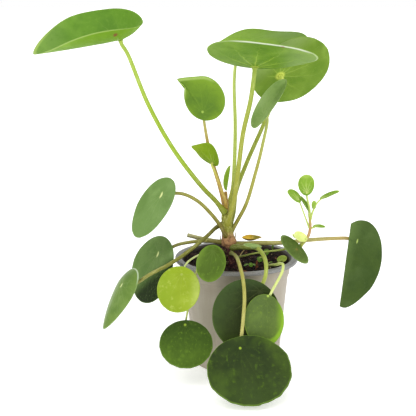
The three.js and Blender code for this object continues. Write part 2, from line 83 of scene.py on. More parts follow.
# Each leaf's shape, as in the part: a blade held at its hub, its aim (heading, dip, bank), its size
# (length, width), its edge waves (height, count, start), and the radii and route of its stalk.
LEAVES = {
    "crown_left": dict(hub=(-107, -30, 317), aim=(-90, 12, -21), size=(90, 64), back=0.264, egg=-0.18,
        tip=13, cup=11, fold=12, droop=2.2, wave=(1.7, 3, 180), radii=(2.4, 1.8), route=[(-11, -4, 150),
        (-21, -6, 163), (-33, -8, 176), (-60, -15, 213.5), (-83, -22, 257), (-101, -28, 304)]),
    "crown_front": dict(hub=(15, -25, 292), aim=(0, -18, -5), size=(86, 98), back=0.16, side=0.05, cup=2,
        fold=2, wave=(1.6, 2, -170), radii=(2.4, 2.1), route=[(-9, -5, 138), (-6.5, -8.5, 148),
        (-3.3, -10, 161), (0.6, -14, 192), (5, -19, 230), (11.5, -23, 261)]),
    "crown_right": dict(hub=(41, 15, 281), aim=(80, -38, -42), size=(79, 82), back=0.36, side=0.06,
        radii=(2.3, 1.9), route=[(-8, -2, 131), (-3, 4, 148), (-0.5, 7, 168.5), (9.4, 10, 196),
        (24.7, 13, 231), (35, 13, 257)]),
    "crown_back": dict(hub=(0, 45, 307), aim=(90, -1, -24), size=(93, 84), back=0.22, wave=(1.4, 5, -75),
        radii=(2.2, 1.5), route=[(-10, -1, 146), (-6.5, 6.5, 160), (-3.5, 10.5, 172), (-1.8, 18, 198),
        (-1, 28, 231), (-2, 38, 273)]),
    "crown_slim": dict(hub=(24.4, -16, 246.2), aim=(117, -53, 0), size=(55, 31), back=0.28, side=0.04,
        cup=1, fold=3, radii=(2, 1.4), route=[(-8, -3, 126), (1.4, -2, 143), (9, -4.5, 159),
        (16.8, -8.5, 187.5), (23.5, -12, 217)]),
    "young_cupped": dict(hub=(-33, 5, 247), aim=(-100, -60, -85), size=(44, 37.5), back=0.26, side=-0.22,
        egg=0.04, tip=6, hook=13, point=2.2, cup=3, radii=(2.4, 1.2), route=[(-10.5, 0, 157),
        (-13.5, 3, 165), (-17, 5, 177), (-23.4, 7, 197.5), (-28, 9, 216.5), (-31.5, 10.5, 237)]),
    "young_side": dict(hub=(-23.5, -4, 199), aim=(-90, -48, 70), size=(27, 17), back=0.2, side=0.08,
        egg=-0.35, tip=3, hook=-7, cup=2, fold=3, radii=(1.6, 1), route=[(-9.8, -3, 155),
        (-11.4, -7.8, 164), (-14.2, -9, 172), (-20, -9, 188)]),
    "left_upper": dict(hub=(-72, -20, 171), aim=(-37, 50, 9), size=(66, 46), back=0.28, side=-0.03,
        egg=0.12, cup=2, radii=(2, 1.6), route=[(-8.5, -5, 124), (-12, -9, 131), (-15.5, -9.5, 138),
        (-25, -11, 151), (-38, -13, 164), (-52, -14, 171), (-63, -14, 171)]),
    "left_middle": dict(hub=(-76.8, -9, 110), aim=(-50, 63, 6), size=(67, 70), back=0.275, side=-0.03,
        hook=-3, droop=3, radii=(1.9, 1.5), route=[(-9, -4, 120.5), (-26, -5, 122.3), (-45, -6, 121.5),
        (-61, -6.5, 117.5)]),
    "left_outer": dict(hub=(-109, -46, 90), aim=(-65, 58, 0), size=(60, 41), back=0.33, side=-0.08,
        egg=0.22, tip=4, cup=-7, radii=(2, 1.6), route=[(-11, -2, 140), (-20, -4, 135.5), (-28, -13, 130),
        (-45, -27, 119), (-63, -40, 109.5), (-82, -43, 100), (-94, -40.5, 91.5)]),
    "rim_small": dict(hub=(-23, -62, 128), aim=(-20, 65, 0), size=(34, 28), back=0.15, cup=1.5,
        radii=(1.2, 1), route=[(-8, -8, 102), (-13, -22, 104), (-18, -38, 110), (-21, -50, 118)]),
    "rim_yellow": dict(hub=(-52, -62, 105.5), aim=(-5, 60, 0), size=(43, 39), back=0.17, side=-0.05,
        cup=1.5, radii=(0.9, 0.9), route=[(-9, -6, 112), (-23, -22, 118), (-37, -38, 117),
        (-47, -51, 113.5), (-50.5, -54, 108)]),
    "low_left": dict(hub=(-49, -64, 57.5), aim=(0, 70, 0), size=(44, 49), back=0.1, side=0.02, cup=1.5,
        radii=(1.1, 0.9), route=[(-7.5, -7, 107), (-22, -30, 114), (-35, -50, 114), (-39.5, -60, 103.5),
        (-43.5, -62, 86), (-47, -60, 68)]),
    "front_broad": dict(hub=(19.5, -70, 92), aim=(0, 78, 0), size=(66, 62), back=0.17, side=-0.2, cup=1.5,
        radii=(2.4, 1.7), route=[(-5.5, -7.5, 116.5), (1.5, -12, 118), (9, -19, 119.5), (14, -28, 122),
        (18.5, -37, 123.5), (22.5, -47, 121.5), (25, -55, 117), (25.6, -60, 111), (24.6, -63.5, 103.5)]),
    "front_small": dict(hub=(26, -77, 84), aim=(4, 78, 0), size=(47, 36), back=0.15, side=-0.09, cup=1,
        radii=(1.5, 1.2), route=[(29.4, -4, 82), (29.4, -5, 96), (31.5, -20, 102), (35.5, -42, 109),
        (38.8, -56, 114), (40.6, -65, 115.5), (39.6, -72, 112), (37, -74, 106.5), (33, -74.5, 99),
        (29, -74.5, 91)]),
    "front_low": dict(hub=(1, -96, 47), aim=(8, 55, 0), size=(63, 76), back=0.17, side=0.08, cup=2,
        wave=(1, 7, 0), radii=(1.8, 1.6), route=[(-5.5, -8, 111), (-1.5, -34, 115), (1, -56, 113.5),
        (4, -73, 103.5), (5, -82, 90), (4, -86, 73), (2.6, -87, 57), (1.5, -89, 49)]),
    "right": dict(hub=(115, -20, 126), aim=(-45, 67, -40), size=(77.5, 49.5), back=0.27, side=0.05,
        egg=-0.06, tip=8, flat=8.6, cup=2, radii=(2.5, 1.6), route=[(-6, -3, 118), (18, -4, 120),
        (45, -8, 121.5), (71, -11, 125), (94.5, -13, 127), (108, -13.5, 127)]),
    "young_rolled": dict(hub=(-10, 0, 172), aim=(60, -80, 0), size=(25, 7.5), back=0.03, fold=3.4),
    "plantlet": dict(hub=(56, -31, 120.8), aim=(66, 42, 35), size=(35, 15), back=0.54, side=-0.1,
        radii=(0.9, 0.8), route=[(63, -24.8, 126), (61, -25.6, 122)]),
}

CUT_STALK = dict(
    radii=(2.3, 2), route=[(-9, 0, 119), (-21.5, 4, 120), (-34, 8, 121.5), (-48, 12, 124)])
RUNNER = dict(
    radii=(0.9, 1), route=[(-3, -5, 105), (18, -9, 111), (44, -17, 117), (58.5, -24, 122.5),
    (62, -24.5, 125)])
PLANTLET_STEM = dict(
    radii=(1.6, 1.2), route=[(60.5, -24.5, 123.5), (65.4, -25, 129), (68.1, -25, 134.4), (69.1, -25, 142.2),
    (68.5, -25, 149), (67.8, -25, 156)])
PLANTLET_LEAVES = {
    "top": dict(hub=(64.8, -25.5, 175), aim=(-90, -84, -76), size=(20, 16), back=0.16, egg=-0.12, cup=1,
        radii=(1.2, 0.9), route=[(68.3, -25, 151), (67.6, -24.8, 160), (65.4, -24.4, 170)]),
    "left": dict(hub=(57, -27, 168.5), aim=(-74, -36, -42), size=(17, 13), back=0.2, fold=1.5,
        radii=(0.8, 0.7), route=[(68.6, -25, 139.5), (64.8, -25.4, 149), (61, -26, 159), (58.2, -26.3, 166)]),
    "folded": dict(hub=(68, -24.6, 155), aim=(-96, -57, -14), size=(19, 8), back=0.02, fold=2.5),
    "right": dict(hub=(80, -22, 168.6), aim=(93, -22, 16), size=(19.5, 8), back=0.12, fold=1,
        radii=(0.9, 0.7), route=[(68.8, -25, 147), (71.4, -24.6, 157), (75.5, -23.5, 164.5)]),
    "bud": dict(hub=(72.2, -25, 158.5), aim=(0, -86, 0), size=(8.5, 4.5), back=0.05, fold=1.5,
        radii=(0.7, 0.6), route=[(68.6, -25, 149), (70.6, -25, 154)]),
    "low_right": dict(hub=(74, -24.5, 141.5), aim=(90, 3, 14), size=(12, 7), back=0.2, fold=1,
        radii=(0.8, 0.7), route=[(69, -25, 139.5), (71.5, -24.7, 140.5)]),
    "pale": dict(hub=(64.3, -26.6, 129.5), aim=(-80, -22, -45), size=(14, 11), back=0.1, cup=2,
        radii=(0.8, 0.7), route=[(66, -25, 129.5)]),
    "pale_back": dict(hub=(60.5, -25.4, 128), aim=(-95, -27, -20), size=(11, 7), back=0.1, cup=1.5,
        radii=(0.7, 0.6), route=[(63.4, -24.8, 126.5)]),
}
WITHERED = dict(
    hub=(15, 55, 107.8), aim=(95, 0, 10), size=(19, 11), back=0.4, cup=3, fold=0.8, tip=2)

# ---------------------------------------------------------------- colours, as 0-255 sRGB
# Each side of a blade has dark patches, a main colour and light patches. An under side that is left
# out is DEEP_UNDER.
FRESH_UNDER = ((96, 126, 36), (108, 138, 42), (128, 156, 58))
DEEP_UNDER = ((84, 108, 44), (98, 120, 52), (114, 136, 66))
COLOURS = {
    "crown_left": dict(upper=((82, 124, 34), (96, 138, 40), (118, 156, 58)), edge=(150, 176, 90),
        under=((94, 134, 18), (104, 144, 24), (122, 160, 42))),
    "crown_front": dict(upper=((78, 118, 32), (92, 132, 38), (110, 150, 50)), edge=(140, 168, 72),
        under=((78, 116, 20), (90, 128, 26), (120, 152, 50))),
    "crown_right": dict(upper=((78, 118, 32), (92, 134, 40), (112, 152, 52)), edge=(124, 156, 54),
        under=((90, 124, 30), (104, 134, 40), (126, 156, 58))),
    # crown_back: its under side is painted brighter than the other leaves' under sides, standing in for light
    # shining through the blade.
    "crown_back": dict(upper=((78, 118, 32), (92, 134, 40), (112, 152, 52)), edge=(150, 186, 60),
        under=((124, 166, 24), (138, 180, 32), (162, 198, 50))),
    "crown_slim": dict(upper=((122, 152, 80), (140, 168, 94), (158, 184, 118)), edge=(158, 184, 114),
        under=((108, 140, 58), (124, 154, 68), (146, 172, 88))),
    "young_cupped": dict(upper=((84, 116, 40), (98, 130, 40), (118, 150, 44)), edge=(124, 156, 50),
        under=FRESH_UNDER),
    "young_side": dict(upper=((96, 126, 16), (108, 138, 18), (130, 152, 32)), edge=(132, 156, 42),
        under=((98, 128, 18), (112, 140, 24), (132, 156, 38))),
    "left_upper": dict(upper=((94, 124, 60), (104, 134, 70), (120, 148, 84)), edge=(116, 144, 76)),
    # left_middle and left_outer: their grey-blue upper colours hold painted sheen from the bright
    # surroundings.
    "left_middle": dict(upper=((82, 110, 52), (95, 121, 63), (116, 142, 82)), edge=(94, 122, 56)),
    "left_outer": dict(upper=((86, 114, 50), (102, 128, 58), (128, 154, 88)), edge=(136, 160, 96)),
    "rim_small": dict(upper=((66, 86, 24), (74, 98, 30), (96, 126, 38)), edge=(102, 132, 42),
        under=FRESH_UNDER),
    "rim_yellow": dict(upper=((128, 148, 30), (140, 160, 42), (166, 180, 80)), edge=(144, 166, 56),
        under=FRESH_UNDER),
    "low_left": dict(upper=((44, 66, 18), (58, 82, 24), (92, 122, 36)), edge=(96, 126, 46)),
    "front_broad": dict(upper=((33, 42, 18), (43, 54, 22), (56, 72, 28)), edge=(78, 102, 46)),
    "front_small": dict(upper=((70, 90, 38), (82, 102, 44), (110, 136, 48)), edge=(126, 160, 52),
        under=FRESH_UNDER),
    "front_low": dict(upper=((36, 50, 22), (46, 60, 26), (72, 96, 28)), edge=(100, 130, 48)),
    "right": dict(upper=((52, 72, 30), (62, 82, 34), (78, 98, 52)), edge=(66, 90, 38)),
    "young_rolled": dict(upper=((104, 138, 36), (120, 154, 44), (142, 170, 64)), edge=(140, 164, 64),
        under=((104, 138, 36), (120, 154, 44), (142, 170, 64))),
    "plantlet": dict(upper=((68, 86, 34), (78, 98, 42), (96, 118, 56)), edge=(116, 138, 76)),
    "young": dict(upper=((92, 132, 34), (124, 160, 50), (164, 192, 88)), edge=(172, 196, 102),
        under=((100, 138, 40), (130, 164, 58), (166, 194, 94))),
    "pale": dict(upper=((186, 204, 96), (212, 224, 128), (228, 236, 160)), edge=(232, 238, 176),
        under=((186, 204, 96), (212, 224, 128), (228, 236, 160))),
    "dry": dict(upper=((176, 140, 44), (222, 180, 56), (232, 204, 104)), edge=(190, 150, 60),
        under=((150, 120, 50), (190, 150, 60), (214, 186, 100))),
    "seedlings": dict(upper=((66, 104, 26), (84, 124, 34), (110, 148, 52)), edge=(110, 144, 54),
        under=((76, 110, 36), (96, 130, 46), (120, 150, 66))),
    "rim_shoot": dict(upper=((104, 136, 34), (136, 160, 48), (186, 192, 96)), edge=(176, 186, 92),
        under=((112, 140, 40), (140, 162, 56), (180, 190, 96))),
    "arch_sprig": dict(upper=((104, 128, 66), (122, 146, 82), (156, 176, 118)), edge=(156, 172, 118),
        under=((108, 126, 70), (126, 144, 88), (152, 168, 118))),
}
HUB_COLOUR = (214, 222, 150)
# Stalks: colour at the stem, along the stalk, and below the blade.
STALK_COLOURS = {
    "crown_left": ((128, 138, 42), (146, 174, 46), (166, 190, 78)),
    "crown_front": ((152, 152, 56), (152, 158, 60), (156, 176, 74)),
    "crown_right": ((136, 140, 48), (134, 146, 50), (196, 210, 92)),
    "crown_back": ((160, 166, 66), (172, 190, 90), (190, 206, 112)),
    "crown_slim": ((136, 130, 50), (160, 158, 72), (166, 176, 92)),
    "young_cupped": ((176, 134, 62), (180, 152, 78), (176, 176, 96)),
    "young_side": ((170, 136, 60), (178, 156, 72), (176, 184, 84)),
    "left_upper": ((104, 90, 28), (140, 136, 60), (160, 158, 84)),
    "left_middle": ((110, 102, 44), (150, 146, 74), (164, 160, 92)),
    "left_outer": ((96, 92, 34), (126, 126, 50), (156, 154, 84)),
    "rim_small": ((58, 50, 30), (120, 122, 64), (170, 190, 96)),
    "rim_yellow": ((66, 58, 34), (196, 204, 138), (200, 214, 130)),
    "low_left": ((60, 52, 32), (168, 176, 98), (176, 190, 100)),
    "front_broad": ((96, 104, 42), (138, 150, 60), (176, 188, 84)),
    "front_small": ((150, 160, 78), (190, 204, 112), (206, 218, 136)),
    "front_low": ((112, 116, 62), (158, 154, 74), (182, 176, 104)),
    "right": ((116, 114, 44), (176, 168, 104), (178, 152, 92)),
    "plantlet": ((150, 160, 70), (160, 170, 80), (170, 180, 90)),
    "cut": ((120, 112, 60), (168, 164, 106), (196, 190, 144)),
    "runner": ((120, 132, 56), (150, 164, 78), (150, 160, 74)),
    "shoot": ((150, 156, 64), (178, 136, 92), (160, 168, 66)),
    "young": ((166, 184, 84), (184, 202, 110), (186, 204, 112)),
    "pale": ((170, 184, 96), (184, 200, 108), (196, 208, 120)),
    "old": ((96, 62, 36), (122, 102, 52), (132, 120, 62)),
}


# ---------------------------------------------------------------- material graphs
def linear(colour):
    """A 0-255 sRGB colour as Blender's linear RGBA."""
    shares = [channel / 255 for channel in colour]
    return (*[s / 12.92 if s <= 0.04045 else ((s + 0.055) / 1.055) ** 2.4 for s in shares], 1.0)


def put(tree, socket, value):
    if isinstance(value, Value):
        tree.links.new(value.socket, socket)
    else:
        socket.default_value = value


def add_node(tree, kind, inputs, **settings):
    """A new node with its settings and inputs in place: a list of its outputs."""
    made = tree.nodes.new(kind)
    for name, setting in settings.items():
        setattr(made, name, setting)
    for key, value in inputs.items():
        put(tree, made.inputs[key], value)
    return [Value(tree, socket) for socket in made.outputs]


class Value:
    """A number or vector in a node tree. Working with it as with a Python number adds the nodes."""

    def __init__(self, tree, socket):
        self.tree = tree
        self.socket = socket

    def math(self, operation, *others):
        return add_node(self.tree, "ShaderNodeMath", dict(enumerate((self, *others))), operation=operation)[0]

    def __add__(self, other):
        return self.math("ADD", other)

    def __sub__(self, other):
        return self.math("SUBTRACT", other)

    def __rsub__(self, other):
        return self * -1.0 + other

    def __mul__(self, other):
        return self.math("MULTIPLY", other)

    def __truediv__(self, other):
        return self.math("DIVIDE", other)

    def clamped(self):
        """The same number, kept between 0 and 1."""
        self.socket.node.use_clamp = True
        return self

    def smooth(self, low, high):
        """0 at low and 1 at high, with a soft step between them; low may be above high."""
        flip = float(low > high)
        inputs = {"Value": self, "From Min": min(low, high), "From Max": max(low, high),
                  "To Min": flip, "To Max": 1 - flip}
        return add_node(self.tree, "ShaderNodeMapRange", inputs, interpolation_type="SMOOTHSTEP")[0]

    def noise(self, scale, detail=3.0, roughness=0.55, distortion=0.0):
        inputs = dict(Vector=self, Scale=scale, Detail=detail, Roughness=roughness, Distortion=distortion)
        return add_node(self.tree, "ShaderNodeTexNoise", inputs)[0]

    def cells(self, scale, feature="F1"):
        inputs = dict(Vector=self, Scale=scale)
        return add_node(self.tree, "ShaderNodeTexVoronoi", inputs, feature=feature)[0]

    def parts(self):
        return add_node(self.tree, "ShaderNodeSeparateXYZ", {"Vector": self})


def vector(x, y, z=0.0):
    return add_node(x.tree, "ShaderNodeCombineXYZ", dict(X=x, Y=y, Z=z))[0]


def distance(x, y):
    return (x * x + y * y).math("SQRT")


class Graph:
    """A material that is painted coat by coat. A coat's colour is 0-255 sRGB or a Value."""

    def __init__(self, name, colour, specular=0.2):
        self.material = bpy.data.materials.new(name)
        self.material.use_nodes = True
        self.tree = self.material.node_tree
        self.shader = self.tree.nodes["Principled BSDF"]
        self.shader.inputs["Specular IOR Level"].default_value = specular
        self.colour = colour

    def mix(self, share, first, second):
        first, second = (linear(c) if isinstance(c, tuple) else c for c in (first, second))
        return add_node(self.tree, "ShaderNodeMix", {0: share, 6: first, 7: second}, data_type="RGBA")[2]

    def paint(self, mask, colour):
        self.colour = self.mix(mask, self.colour, colour)

    def attribute(self, name):
        _, vector_value, _, _ = add_node(self.tree, "ShaderNodeAttribute", {}, attribute_name=name)
        return vector_value

    def place(self):
        """Object coordinates, in metres."""
        return add_node(self.tree, "ShaderNodeTexCoord", {})[3]

    def bump(self, height, relief, strength=1.0):
        """Light and shade as from a relief of so many millimetres."""
        inputs = dict(Height=height, Distance=relief * MM, Strength=strength)
        put(self.tree, self.shader.inputs["Normal"], add_node(self.tree, "ShaderNodeBump", inputs)[0])

    def finish(self, roughness):
        put(self.tree, self.shader.inputs["Base Color"], self.colour)
        put(self.tree, self.shader.inputs["Roughness"], roughness)
        return self.material


# ---------------------------------------------------------------- meshes
def add_object(name, data):
    made = bpy.data.objects.new(name, data)
    bpy.context.scene.collection.objects.link(made)
    return made


def add_piece(name, slot, points, faces, materials, indices=None, coordinates=None, kind="leaf", replaces=()):
    """A smooth mesh from points in millimetres, which rides on the one body."""
    mesh = bpy.data.meshes.new(name)
    mesh.from_pydata((np.asarray(points, float) * MM).tolist(), [], faces)
    for material in materials:
        mesh.materials.append(material)
    if indices is not None:
        mesh.polygons.foreach_set("material_index", np.asarray(indices, np.int32))
    mesh.polygons.foreach_set("use_smooth", np.ones(len(mesh.polygons), bool))
    if coordinates is not None:
        attribute = mesh.attributes.new(kind, "FLOAT_VECTOR", "POINT")
        attribute.data.foreach_set("vector", np.asarray(coordinates, np.float32).ravel())
    mesh.update()
    piece = add_object(name, mesh)
    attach(piece, BODY)
    if replaces:
        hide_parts(*replaces)
    return piece


def add_shapes(name, slot, kind, shapes, materials, replaces=()):
    """Blades ("leaf") or tubes ("stalk") as one piece; a shape is points, faces, indices, coordinates."""
    points, faces, indices, coordinates = [], [], [], []
    for shape_points, shape_faces, shape_indices, shape_coordinates in shapes:
        start = len(points)
        points.extend(shape_points)
        faces.extend([start + corner for corner in face] for face in shape_faces)
        indices.extend(shape_indices)
        coordinates.extend(shape_coordinates)
    add_piece(name, slot, points, faces, materials, indices, coordinates, kind, replaces)


def unit(direction):
    return direction / np.linalg.norm(direction)


def circle(radius, segments):
    turns = [2 * math.pi * step / segments for step in range(segments)]
    return [(radius * math.cos(turn), radius * math.sin(turn)) for turn in turns]


def ring_faces(ring_count, segments, start=0):
    """Four-sided faces between rings of points, ring by ring."""
    return [[ring + step, ring + segments + step, ring + segments + (step + 1) % segments,
             ring + (step + 1) % segments]
            for ring in range(start, start + (ring_count - 1) * segments, segments)
            for step in range(segments)]


def turned_faces(ring_count, segments):
    """Faces of a body made of one point, rings of points, and one last point."""
    last = 1 + (ring_count - 1) * segments
    pairs = [(step, (step + 1) % segments) for step in range(segments)]
    return [*([0, 1 + step, 1 + after] for step, after in pairs), *ring_faces(ring_count, segments, 1),
            *([last + after, last + step, last + segments] for step, after in pairs)]


def flipped(faces):
    """The same faces, looking the other way."""
    return [[face[0], *face[:0:-1]] for face in faces]


# ---------------------------------------------------------------- blades
def blade_frame(leaf):
    heading, dip, bank = (math.radians(angle) for angle in leaf["aim"])
    tip = np.array([math.cos(dip) * math.sin(heading), -math.cos(dip) * math.cos(heading), -math.sin(dip)])
    level = np.array([math.cos(heading), math.sin(heading), 0.0])
    upright = np.cross(tip, level)
    side = level * math.cos(bank) + upright * math.sin(bank)
    normal = upright * math.cos(bank) - level * math.sin(bank)
    return tip, side, normal


def blade_surface(leaf, angle, share):
    """The part's own middle surface: (u, v, w) along the tip, the side and the normal."""
    get = leaf.get
    half_length, half_width = (size / 2 for size in leaf["size"])
    back, tip = get("back", 0.25), get("tip", 0)
    wave, wave_count, wave_start = get("wave", (0, 0, 0))
    along, across = np.cos(angle), np.sin(angle)
    ahead = np.maximum(along, 0)
    reach = half_length * (2 - 2 * back) + tip
    edge_u = half_length * (1 - 2 * back + along) + tip * ahead ** (8 * get("point", 1))
    edge_v = half_width * (across * (1 - get("egg", 0) * along) + 2 * get("side", 0))
    edge_v += get("hook", 0) * ahead ** (6 * get("point", 1))
    if "flat" in leaf:
        edge_v = np.maximum(edge_v, -leaf["flat"] * (1 - edge_u / reach))
    u, v = share * edge_u, share * edge_v
    crease = np.sqrt((v / half_width) ** 2 + FOLD_SOFTNESS) - math.sqrt(FOLD_SOFTNESS)
    w = (get("cup", 0) * share ** 2 + get("fold", 0) * crease
         - get("droop", 0) * (np.maximum(u, 0) / half_length) ** 2
         + wave * share ** 3 * np.sin(wave_count * angle + math.radians(wave_start)))
    return u, v, w


# Main veins leave the hub at these angles from the tip and bend towards it on their way out.
VEIN_ANGLES = (0, 27, -27, 58, -58, 98, -98, 145, -145)
VEIN_BEND = 0.2
VEIN_HALF_WIDTH = 0.8        # at the hub, in millimetres; it loses VEIN_TAPER towards the edge
VEIN_TAPER = 0.62
HALO_WIDTH = 4.5             # in vein widths
SIDE_VEIN_SPACING = 5.0
SIDE_VEIN_WIDTH = 0.42
SIDE_VEIN_START = 4.0
# The blade sinks a little over its stalk: depth and radius as shares of the blade's size.
DIMPLE_DEPTH = 0.010
DIMPLE_RADIUS = 0.05
# In blade thicknesses: thinner by this at the edge, veins sunken above and raised below, a round edge.
EDGE_THINNING = 0.55
VEIN_GROOVE = 0.12
VEIN_KEEL = 0.35
EDGE_ROUNDING = 0.2
VEIN_RELIEF_WIDTH = 0.9      # in millimetres


def vein_depth(u, v, share):
    """1 on a main vein near the hub, fading to nothing beside it and towards the edge."""
    radius = np.hypot(u, v)
    turn = np.arctan2(v, u)
    nearest = np.full_like(radius, np.inf)
    for vein in VEIN_ANGLES:
        off = turn - math.radians(vein) * (1 - VEIN_BEND * share)
        nearest = np.minimum(nearest, 2 * radius * np.abs(np.sin(off / 2)))
    return np.exp(-(nearest / VEIN_RELIEF_WIDTH) ** 2) * (1 - share) ** 0.7


def leaf_noise(angle, share, seed, count):
    """A smooth ripple round the blade, stronger towards its edge, from a few seeded waves."""
    draw = random.Random(seed)
    total = np.zeros_like(angle)
    for _ in range(count):
        cycles = draw.randint(2, 7)
        total += draw.uniform(-1, 1) * np.sin(cycles * angle + draw.uniform(0, DRAWN_TURN)) / cycles
    return total * share ** 2


def blade_mesh(leaf, seed, segments, rings, thickness, ripple, notch):
    """A fine blade as a shape: its upper side from the hub out, its edge, its under side back to the hub."""
    tip, side, normal = blade_frame(leaf)
    turn = np.arange(segments) * 2 * math.pi / segments
    grids = np.meshgrid(np.linspace(0, 1, rings + 1)[1:] ** 0.9, turn, indexing="ij")
    share, angle = (np.append(0.0, grid) for grid in grids)
    u, v, w = blade_surface(leaf, angle, share)
    w = w + ripple * leaf_noise(angle, share, seed, 5)
    edge = 1 + notch * leaf_noise(angle * 5, np.ones_like(share), seed + 1, 8) * share ** 4
    u, v = u * edge, v * edge
    size = min(leaf["size"])
    w -= DIMPLE_DEPTH * size * np.exp(-(np.hypot(u, v) / (DIMPLE_RADIUS * size)) ** 2)
    veins = vein_depth(u, v, share) * thickness
    half = thickness / 2 * (1 - EDGE_THINNING * share ** 3)
    rim_out = 1 + EDGE_ROUNDING * thickness / max(size / 2, 1)
    outwards = np.arange(len(share))
    rows = outwards[1:].reshape(rings, segments)
    inwards = np.append(rows[::-1], 0)
    points, coordinates = [], []
    for order, out, lift in ((outwards, 1, half - VEIN_GROOVE * veins), (rows[-1], rim_out, 0),
                             (inwards, 1, -half - VEIN_KEEL * veins)):
        layer = np.outer(u * out, tip) + np.outer(v * out, side) + np.outer(w + lift, normal)
        points.extend((np.array(leaf["hub"], float) + layer)[order])
        coordinates.extend(np.column_stack([u, v, share])[order])
    sides = np.repeat([0] * rings + [2, 2] + [1] * rings, segments)
    return points, turned_faces(2 * rings + 1, segments), sides, coordinates


def vein_group():
    """A node group that turns leaf coordinates into masks of main veins, side veins and halos."""
    group = bpy.data.node_groups.new("leaf_veins", "ShaderNodeTree")
    group.interface.new_socket("Leaf", in_out="INPUT", socket_type="NodeSocketVector")
    leaf = add_node(group, "NodeGroupInput", {})[0]
    u, v, share = leaf.parts()
    radius = distance(u, v)
    wobble = leaf.noise(0.12, 1.0, 0.5)
    turn = v.math("ARCTAN2", u) + wobble * 0.16 - 0.08
    nearest = None
    for vein in VEIN_ANGLES:
        angle = math.radians(vein)
        aim = share * (-VEIN_BEND * angle) + angle
        off = ((turn - aim) * 0.5).math("SINE").math("ABSOLUTE")
        nearest = off if nearest is None else nearest.math("MINIMUM", off)
    across = nearest * 2.0 * radius
    width = share * -VEIN_TAPER + VEIN_HALF_WIDTH
    along = radius - across * 0.9
    phase = (along + wobble * 6.0).math("PINGPONG", SIDE_VEIN_SPACING / 2)
    masks = {
        "Main": (1.0 - across / width).clamped(),
        "Side": (1.0 - phase / SIDE_VEIN_WIDTH).clamped() * radius.math("GREATER_THAN", SIDE_VEIN_START),
        "Halo": (1.0 - across / (width * HALO_WIDTH)).clamped(),
    }
    end = group.nodes.new("NodeGroupOutput")
    for name, mask in masks.items():
        group.interface.new_socket(name, in_out="OUTPUT", socket_type="NodeSocketFloat")
        put(group, end.inputs[name], mask)
    return group


VEINS = vein_group()


def leaf_material(name, colours, side, look, size):
    """One side of a blade: soft patches, washes, veins, a pale hub in a darker ring, and a rim."""
    upper = side == "upper"
    dark, main, light = colours.get(side, DEEP_UNDER)
    graph = Graph(f"{name}_{side}", main, look["specular"])
    leaf = graph.attribute("leaf")
    u, v, share = leaf.parts()
    seed = look["seed"]
    where = vector(u + seed * 37.0, v + seed * 17.0, seed * 5.0)

    def towards(angle, start, end):
        """0 to 1 from start to end, in millimetres from the hub, along one way over the blade."""
        way = math.radians(angle)
        return (u * math.cos(way) + v * math.sin(way)).smooth(start, end)

    def margin(width, outer_share):
        """0 inside and 1 at the edge, over about this width in millimetres."""
        return share.smooth(1.0 - 2.6 * width / size, 1.0 - outer_share * width / size)

    patches = where.noise(0.05, 3.0, 0.5, 0.3)
    graph.paint(patches.smooth(0.44, 0.68) * 0.8, dark)
    glow = where.noise(0.04, 2.0, 0.5, 0.3) + share.math("POWER", 3.0) * look["rim_glow"]
    graph.paint(glow.smooth(0.5, 0.9), light)
    for angle, start, end, strength, wash_colour in look["washes"]:
        graph.paint(towards(angle, start, end) * strength, wash_colour)
    mottle = where.noise(look["mottle_scale"], 4.0, 0.65)
    graph.paint(mottle.smooth(0.54, 0.72) * look["mottle"], light)
    graph.paint(mottle.smooth(0.46, 0.3) * 0.35, dark)
    blobs = where.cells(0.13).smooth(0.34, 0.08) * patches.smooth(0.4, 0.6)
    graph.paint(blobs * look["blobs"], light)
    main_vein, side_vein, halo = add_node(graph.tree, "ShaderNodeGroup", {"Leaf": leaf}, node_tree=VEINS)
    fade = share.smooth(1.0, 0.15) * look["veins" if upper else "under_veins"]
    vein_colour = graph.mix(0.6, light, look["hub_colour"])
    graph.paint(halo * fade * look["halo"], light)
    graph.paint(main_vein * fade, vein_colour)
    graph.paint(side_vein * fade * 0.4, vein_colour)
    graph.paint(distance(u, v).smooth(0.16 * size, 0.04 * size) * look["hub_shade"], dark)
    hub = distance(u / look["hub_stretch"], v).smooth(look["hub_radius"] * 1.5, look["hub_radius"] * 0.6)
    graph.paint(hub * look["hub"], look["hub_colour"])
    for angle, start, end, width, rim_colour in look["rims"]:
        graph.paint(margin(width, 1.2) * towards(angle, start, end), rim_colour)
    graph.paint(margin(look["edge_width"], 0.8) * 0.7, colours["edge"])
    for spot_u, spot_v, spot_radius, spot_colour in look["spots"]:
        spot = distance(u - spot_u, v - spot_v).smooth(spot_radius * 1.4, spot_radius * 0.4)
        graph.paint(spot * 0.85, spot_colour)
    sunken, sunken_side = (-0.5, -0.22) if upper else (0.8, 0.3)
    relief = where.noise(1.6, 3.0, 0.6) * 0.35 + main_vein * sunken + side_vein * sunken_side
    graph.bump(relief, 0.22, 0.7)
    low, high = look["roughness"] if upper else UNDER_ROUGHNESS
    return graph.finish(where.noise(0.1) * (high - low) + low)
